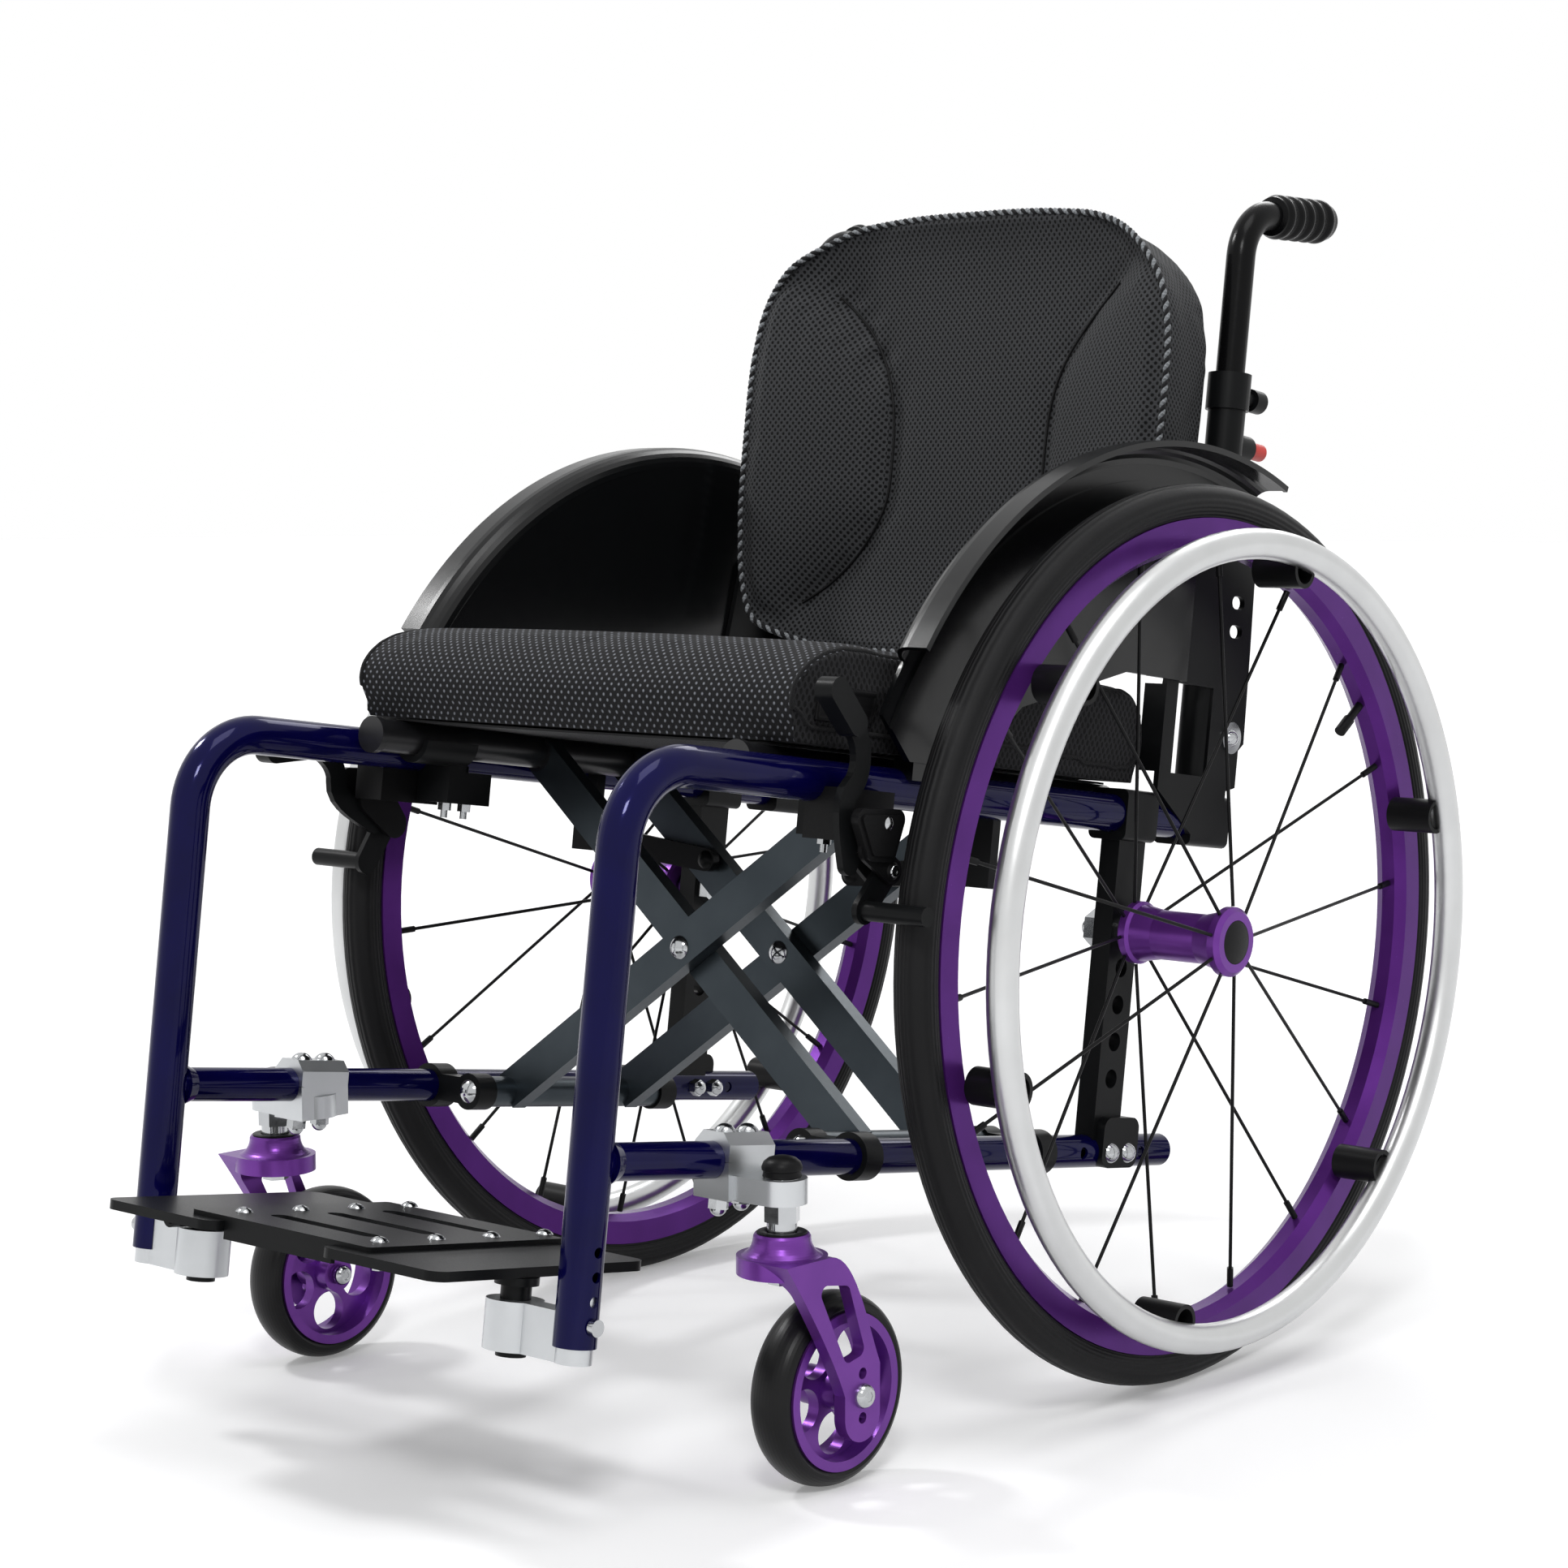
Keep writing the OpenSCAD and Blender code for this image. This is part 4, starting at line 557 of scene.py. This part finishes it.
# Black thread laid in the groove of a seam, half sunk into the cover
def makeBackSeam(name, line, skin):
    front = skin[skin[:, 1] < np.median(skin[:, 1])]
    path = []
    for x, y, z in line:
        near = front[np.argsort(np.hypot(front[:, 0] - x, front[:, 2] - z))[:4]]
        path.append((x, near[:, 1].mean(), z))
    path = np.array(path)
    for turn in range(4):
        path[1:-1] = (path[:-2] + 2 * path[1:-1] + path[2:]) / 4
    thread = makeTube(name, path, backPad["threadMm"], False)
    placePiece(thread, "frame_right", [looks["blackSpokeSteel"]])
    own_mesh(thread)


def makeBackCord(skin):
    edge = [2 * i / backPad["cordSteps"] - 1 for i in range(backPad["cordSteps"])]
    around = [(e, -1) for e in edge] + [(1, e) for e in edge]
    around += [(-e, 1) for e in edge] + [(-1, -e) for e in edge]
    path = []
    for u, v in around:
        x, z = backOutline(u, v, 0.5)
        dish = backPad["dishMm"] / 2 * (1 - u ** 6) * (abs(v) == 1)
        path.append((x, (backPad["frontMm"] + dish) / 1000, z))
    path = np.array(path)
    # The cord lies on the edge of the swollen cover: its nearest point, a little outwards, then smoothed
    for index, point in enumerate(path):
        touch = skin[np.argmin(np.linalg.norm(skin - point, axis=1))]
        away = np.array([point[0], -0.08, point[2] - backPad["middleMm"] / 1000])
        path[index] = touch + away / np.linalg.norm(away) * backPad["cordMm"] * 0.15 / 1000
    for turn in range(6):
        path = (np.roll(path, 1, axis=0) + 2 * path + np.roll(path, -1, axis=0)) / 4
    # Two strands wound round that line: a grey one, and a black one that is painted shade for the gaps of the
    # grey cord
    steps = np.linalg.norm(np.roll(path, -1, axis=0) - path, axis=1)
    reach = np.concatenate([[0], np.cumsum(steps)])
    fine = np.linspace(0, reach[-1], 1000, endpoint=False)
    ring = np.vstack([path, path[:1]])
    path = np.stack([np.interp(fine, reach, ring[:, k]) for k in range(3)], axis=1)
    outward = path - path.mean(0)
    ahead = np.roll(path, -1, axis=0) - np.roll(path, 1, axis=0)
    ahead /= np.linalg.norm(ahead, axis=1)[:, None]
    outward -= (outward * ahead).sum(1)[:, None] * ahead
    outward /= np.linalg.norm(outward, axis=1)[:, None]
    across = np.cross(ahead, outward)
    turns = round(reach[-1] * 1000 / backPad["twistMm"])
    offset = (backPad["cordMm"] - backPad["strandMm"]) / 1000
    strands = (("backCordGrey", 0, "greyBraidedCord"), ("backCordGapShade", math.pi, "blackSlingWeave"))
    for name, start, look in strands:
        turn = (2 * math.pi * turns * fine / reach[-1] + start)[:, None]
        piece = makeTube(name, path + offset * (np.cos(turn) * outward + np.sin(turn) * across),
                         backPad["strandMm"], True)
        setUv(piece, getPoints(piece)[cornerIndex(piece)][:, [0, 2]])
        placePiece(piece, "frame_right", [looks[look]])
        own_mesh(piece)
        print("back cord:", len(piece.data.polygons), "faces")


makeBackCord(makeBackCushion())

# Seat sling: woven cloth stretched over the two seat tubes, a little slack between them, turned down
# past them, with a stitched hem
sling = {"halfWidthMm": 165.5, "frontMm": -340.5, "backMm": 5.5, "tubeMm": 162.0, "topMm": 98.0,
         "sagMm": 1.0, "thickMm": 1.4, "turnMm": 0.3, "hemMm": 22.0, "stitchMm": 0.2, "stitchWideMm": 2.5}


def makeSeatSling():
    bpy.ops.mesh.primitive_grid_add(x_subdivisions=84, y_subdivisions=88, size=2, location=(0, 0, 0))
    piece = bpy.context.object
    piece.name = "seatSling"
    wide, deep = sling["halfWidthMm"] / 1000, (sling["backMm"] - sling["frontMm"]) / 2000
    bpy.ops.object.mode_set(mode="EDIT")
    bpy.ops.mesh.select_all(action="SELECT")
    bpy.ops.transform.resize(value=(wide, deep, 1))
    middle = (sling["backMm"] + sling["frontMm"]) / 2000
    bpy.ops.transform.translate(value=(0, middle, sling["topMm"] / 1000))
    bpy.ops.object.mode_set(mode="OBJECT")
    points = getPoints(piece)
    span = np.clip(np.abs(points[:, 0]) * 1000 / sling["tubeMm"], 0, 1)
    ends = np.minimum(points[:, 1] * 1000 - sling["frontMm"], sling["backMm"] - points[:, 1] * 1000)
    stitch = np.exp(-((ends - sling["hemMm"]) / sling["stitchWideMm"]) ** 2) * sling["stitchMm"]
    past = sling["halfWidthMm"] - sling["tubeMm"]
    over = np.maximum(np.abs(points[:, 0]) * 1000 - sling["tubeMm"], 0) / past
    points[:, 2] -= (sling["sagMm"] * (1 - span ** 2) + stitch + sling["turnMm"] * over ** 2) / 1000
    setPoints(piece, points)
    setUv(piece, points[cornerIndex(piece)][:, :2])
    applyModifier(piece, "SOLIDIFY", thickness=sling["thickMm"] / 1000, offset=0.0)
    placePiece(piece, "seat", [looks["blackSlingWeave"]])
    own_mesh(piece)
    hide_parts("seat_sling")
    print("seat sling:", len(piece.data.polygons), "faces")


makeSeatSling()

# Moulded rubber patch with a raised border, sewn to the left end of the seat cover
patch = {"wideMm": 52.0, "tallMm": 20.0, "yMm": -306.0, "zMm": 124.0, "thickMm": 1.0, "rimMm": 0.4,
         "borderMm": 1.6, "slopeMm": 0.8, "raisedMm": 0.9, "aboveMm": 0.4, "searchMm": 6.0}


def makeSeatPatch(skin):
    bpy.ops.mesh.primitive_grid_add(x_subdivisions=65, y_subdivisions=25, size=2, location=(0, 0, 0))
    piece = bpy.context.object
    piece.name = "seatPatch"
    wide, tall = patch["wideMm"] / 2000, patch["tallMm"] / 2000
    bpy.ops.object.mode_set(mode="EDIT")
    bpy.ops.mesh.select_all(action="SELECT")
    bpy.ops.transform.resize(value=(wide, tall, 1))
    bpy.ops.object.mode_set(mode="OBJECT")
    flat = getPoints(piece)
    edge = np.minimum(wide - np.abs(flat[:, 0]), tall - np.abs(flat[:, 1])) * 1000
    border = np.clip((edge - patch["rimMm"]) / patch["rimMm"], 0, 1)
    border *= np.clip((patch["borderMm"] + patch["slopeMm"] - edge) / patch["slopeMm"], 0, 1)
    points = np.stack([border * patch["raisedMm"] / 1000, flat[:, 0] + patch["yMm"] / 1000,
                       flat[:, 1] + patch["zMm"] / 1000], axis=1)
    end = skin[skin[:, 0] > 0.15]
    for index, point in enumerate(points):
        near = np.hypot(end[:, 1] - point[1], end[:, 2] - point[2]) < patch["searchMm"] / 1000
        points[index, 0] += end[near][:, 0].max() + patch["aboveMm"] / 1000
    setPoints(piece, points)
    applyModifier(piece, "SOLIDIFY", thickness=patch["thickMm"] / 1000, offset=1.0)
    placePiece(piece, "seat", [looks["mouldedBlackNylon"]])
    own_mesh(piece)
    print("seat patch:", len(piece.data.polygons), "faces")


makeSeatPatch(seatSkin)


# A turned piece: a ring of points drawn out along its axis through (radius, height) in mm;
# the rings inside socketMm are pressed to a hexagon
def turnPiece(name, rings, socketMm=0.0, sides=48):
    bpy.ops.mesh.primitive_circle_add(vertices=sides, radius=rings[0][0] / 1000, location=(0, 0, 0))
    piece = bpy.context.object
    piece.name = name
    bpy.ops.object.mode_set(mode="EDIT")
    bpy.ops.mesh.select_all(action="SELECT")
    for (wide, low), (nextWide, high) in zip(rings[:-1], rings[1:]):
        bpy.ops.mesh.extrude_edges_move(TRANSFORM_OT_translate={"value": (0, 0, (high - low) / 1000)})
        bpy.ops.transform.resize(value=(nextWide / wide, nextWide / wide, 1), center_override=(0, 0, 0))
    bpy.ops.mesh.select_all(action="SELECT")
    bpy.ops.mesh.remove_doubles(threshold=mergeMm / 1000)
    bpy.ops.mesh.normals_make_consistent(inside=False)
    bpy.ops.object.mode_set(mode="OBJECT")
    points = getPoints(piece)
    inner = np.hypot(points[:, 0], points[:, 1]) * 1000 < socketMm
    turn = (np.arctan2(points[:, 1], points[:, 0]) + math.pi / 6) % (math.pi / 3) - math.pi / 6
    points[:, :2] *= np.where(inner, math.cos(math.pi / 6) / np.cos(turn), 1)[:, None]
    setPoints(piece, points)
    return piece


# Sets a turned piece at a point in mm with its axis along a direction, on one of the frame's bodies
def setPiece(piece, spotMm, axis, body, look):
    turn = Vector((0, 0, 1)).rotation_difference(Vector(axis)).to_matrix().to_4x4()
    piece.data.transform(Matrix.Translation(Vector(spotMm) / 1000) @ turn)
    piece.data.materials.append(looks[look])
    pickOnly(piece)
    bpy.ops.object.shade_smooth_by_angle(angle=math.radians(40))
    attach(piece, body)


# Small fittings of each side: rubber plug on the caster stem, seal under its nut, screws on the caster
# axle's ends and on the brake pivot; a profile is a list of radius and height, a socket the hexagon's reach
fittings = {
    "casterXMm": 228.0, "stemYMm": -239.45, "plugZMm": 193.2, "sealZMm": 160.45, "axleYMm": -198.45,
    "axleZMm": 59.0, "legMm": 255.5, "axleEndMm": 210.0, "brakeMm": (229.4, -290.0, 28.0),
    "screwSocketMm": 3.3, "axleSocketMm": 2.9, "pivotSocketMm": 2.3,
    "plug": [(10.2, 0), (11.2, 0.2), (11.6, 1.2), (11.2, 2.4), (11.2, 4.2), (12.0, 4.8), (12.1, 6.4),
             (10.9, 9.4), (8.2, 11.6), (4.4, 12.7), (0.02, 13.0)],
    "seal": [(9.5, 0), (15.0, 0), (15.0, 0.7), (14.2, 1.1), (10.2, 1.1), (9.5, 0.7), (9.5, 0)],
    "screw": [(7.6, 0.1), (7.6, 1.4), (7.0, 3.4), (5.8, 4.9), (4.8, 5.6), (3.4, 5.8), (3.2, 5.6),
              (3.1, 5.2), (0.02, 5.15)],
    "axleEnd": [(7.0, 0.1), (7.0, 1.2), (6.4, 3.2), (5.2, 4.6), (4.2, 5.2), (3.0, 5.3), (2.8, 5.1),
                (2.7, 4.8), (0.02, 4.75)],
    "pivot": [(3.9, 0.1), (3.9, 1.6), (3.4, 2.2), (2.4, 2.3), (2.2, 2.2), (2.1, 1.6), (0.02, 1.55)]}


def makeFittings(side, sign):
    name = side.capitalize()
    stem = (sign * fittings["casterXMm"], fittings["stemYMm"])
    axle = (fittings["axleYMm"], fittings["axleZMm"])
    fork = "caster_fork_" + side
    plug = turnPiece("stemPlug" + name, fittings["plug"])
    setPiece(plug, (*stem, fittings["plugZMm"]), (0, 0, 1), "frame_" + side, "mouldedBlackNylon")
    seal = turnPiece("stemSeal" + name, fittings["seal"])
    setPiece(seal, (*stem, fittings["sealZMm"]), (0, 0, 1), fork, "mouldedBlackNylon")
    screw = turnPiece("casterScrew" + name, fittings["screw"], fittings["screwSocketMm"])
    setPiece(screw, (sign * fittings["legMm"], *axle), (sign, 0, 0), fork, "chromedSteel")
    axleEnd = turnPiece("casterAxleEnd" + name, fittings["axleEnd"], fittings["axleSocketMm"])
    setPiece(axleEnd, (sign * fittings["axleEndMm"], *axle), (-sign, 0, 0), fork, "chromedSteel")
    x, y, z = fittings["brakeMm"]
    pivot = turnPiece("brakeScrew" + name, fittings["pivot"], fittings["pivotSocketMm"])
    setPiece(pivot, railPoint(sign * x, y, z) * 1000, (sign, 0, 0), "frame_" + side, "chromedSteel")


for side, sign in (("left", 1), ("right", -1)):
    makeFittings(side, sign)
print("fittings set")

# Floor and studio: pale floor that keeps the shadow, white to the camera and in reflections
studio = {"floorHex": "#f2f2f3", "floorSize": 80, "floorGlow": (0.2, 0.62), "glowFrom": (1.1, 4.0),
          "worldLight": 0.45, "aim": (0, 0, 0.35), "lamps": {
    "keyPanel": {"watts": 36.0, "place": (1.7, -2.0, 2.4), "size": 0.6},
    "fillPanel": {"watts": 25.0, "place": (-1.8, -0.6, 2.3), "size": 0.36},
    "rimPanel": {"watts": 20.0, "place": (-0.6, 2.2, 2.2), "size": 1.2},
    "skyPanel": {"watts": 18.0, "place": (0.8, -0.2, 2.8), "size": 1.2}}}


# 1 for what the camera sees directly, in a reflection or through glass, 0 for the light that falls on things
def addSeen(tree):
    path = addNode(tree, "ShaderNodeLightPath")
    seen = path.outputs["Is Camera Ray"]
    for other in ("Is Glossy Ray", "Is Transmission Ray"):
        seen = addNode(tree, "ShaderNodeMath", {0: seen, 1: path.outputs[other]},
                       operation="MAXIMUM").outputs[0]
    return seen


def makeStudio():
    bpy.ops.mesh.primitive_plane_add(size=studio["floorSize"], location=(0, 0, 0))
    floor = bpy.context.object
    floor.name = "paleFloor"
    made, tree = newMaterial("paleStudioFloor")
    seen = addSeen(tree)
    place = addNode(tree, "ShaderNodeTexCoord")
    reach = addNode(tree, "ShaderNodeVectorMath", {0: place.outputs["Object"]}, operation="LENGTH")
    near, far = studio["glowFrom"]
    weak, strong = studio["floorGlow"]
    level = addNode(tree, "ShaderNodeMapRange", {"Value": reach.outputs["Value"], "From Min": near,
                    "From Max": far, "To Min": weak, "To Max": strong})
    glow = addNode(tree, "ShaderNodeMath", {0: seen, 1: level.outputs[0]}, operation="MULTIPLY")
    shader = addNode(tree, "ShaderNodeBsdfPrincipled", {"Base Color": hexColor(studio["floorHex"]),
                     "Roughness": 0.55, "Specular IOR Level": 0.2, "Emission Color": (1, 1, 1, 1),
                     "Emission Strength": glow.outputs[0]})
    closeMaterial(tree, shader)
    floor.data.materials.append(made)
    world = bpy.data.worlds.new("softStudio")
    bpy.context.scene.world = world
    world.use_nodes = True
    tree = world.node_tree
    tree.nodes.clear()
    level = addNode(tree, "ShaderNodeMapRange", {"Value": addSeen(tree), "To Min": studio["worldLight"],
                    "To Max": 1.0})
    sky = addNode(tree, "ShaderNodeBackground", {"Color": (1, 1, 1, 1), "Strength": level.outputs[0]})
    addNode(tree, "ShaderNodeOutputWorld", {"Surface": sky.outputs[0]})
    for name, spec in studio["lamps"].items():
        bpy.ops.object.light_add(type="AREA", location=spec["place"])
        lamp = bpy.context.object
        lamp.name = name
        lamp.data.energy = spec["watts"]
        lamp.data.size = spec["size"]
        aim = Vector(studio["aim"]) - lamp.location
        lamp.rotation_euler = aim.to_track_quat("-Z", "Y").to_euler()


makeStudio()

# Camera as solved from the wheels and rails of the photograph
view = {"place": (1.4784, -1.65902, 0.5846), "azimuth": 41.34, "tilt": 6.92, "lens": 75.79,
        "shiftY": 0.0751}


def makeCamera():
    made = bpy.data.cameras.new("photoCamera")
    made.sensor_width = 36
    made.sensor_fit = "HORIZONTAL"
    made.lens = view["lens"]
    made.shift_y = view["shiftY"]
    holder = bpy.data.objects.new("photoCamera", made)
    bpy.context.scene.collection.objects.link(holder)
    holder.location = view["place"]
    holder.rotation_euler = (math.radians(90 - view["tilt"]), 0, math.radians(view["azimuth"]))
    bpy.context.scene.camera = holder


makeCamera()
bpy.context.scene.view_settings.view_transform = "Standard"
print("studio and camera ready")
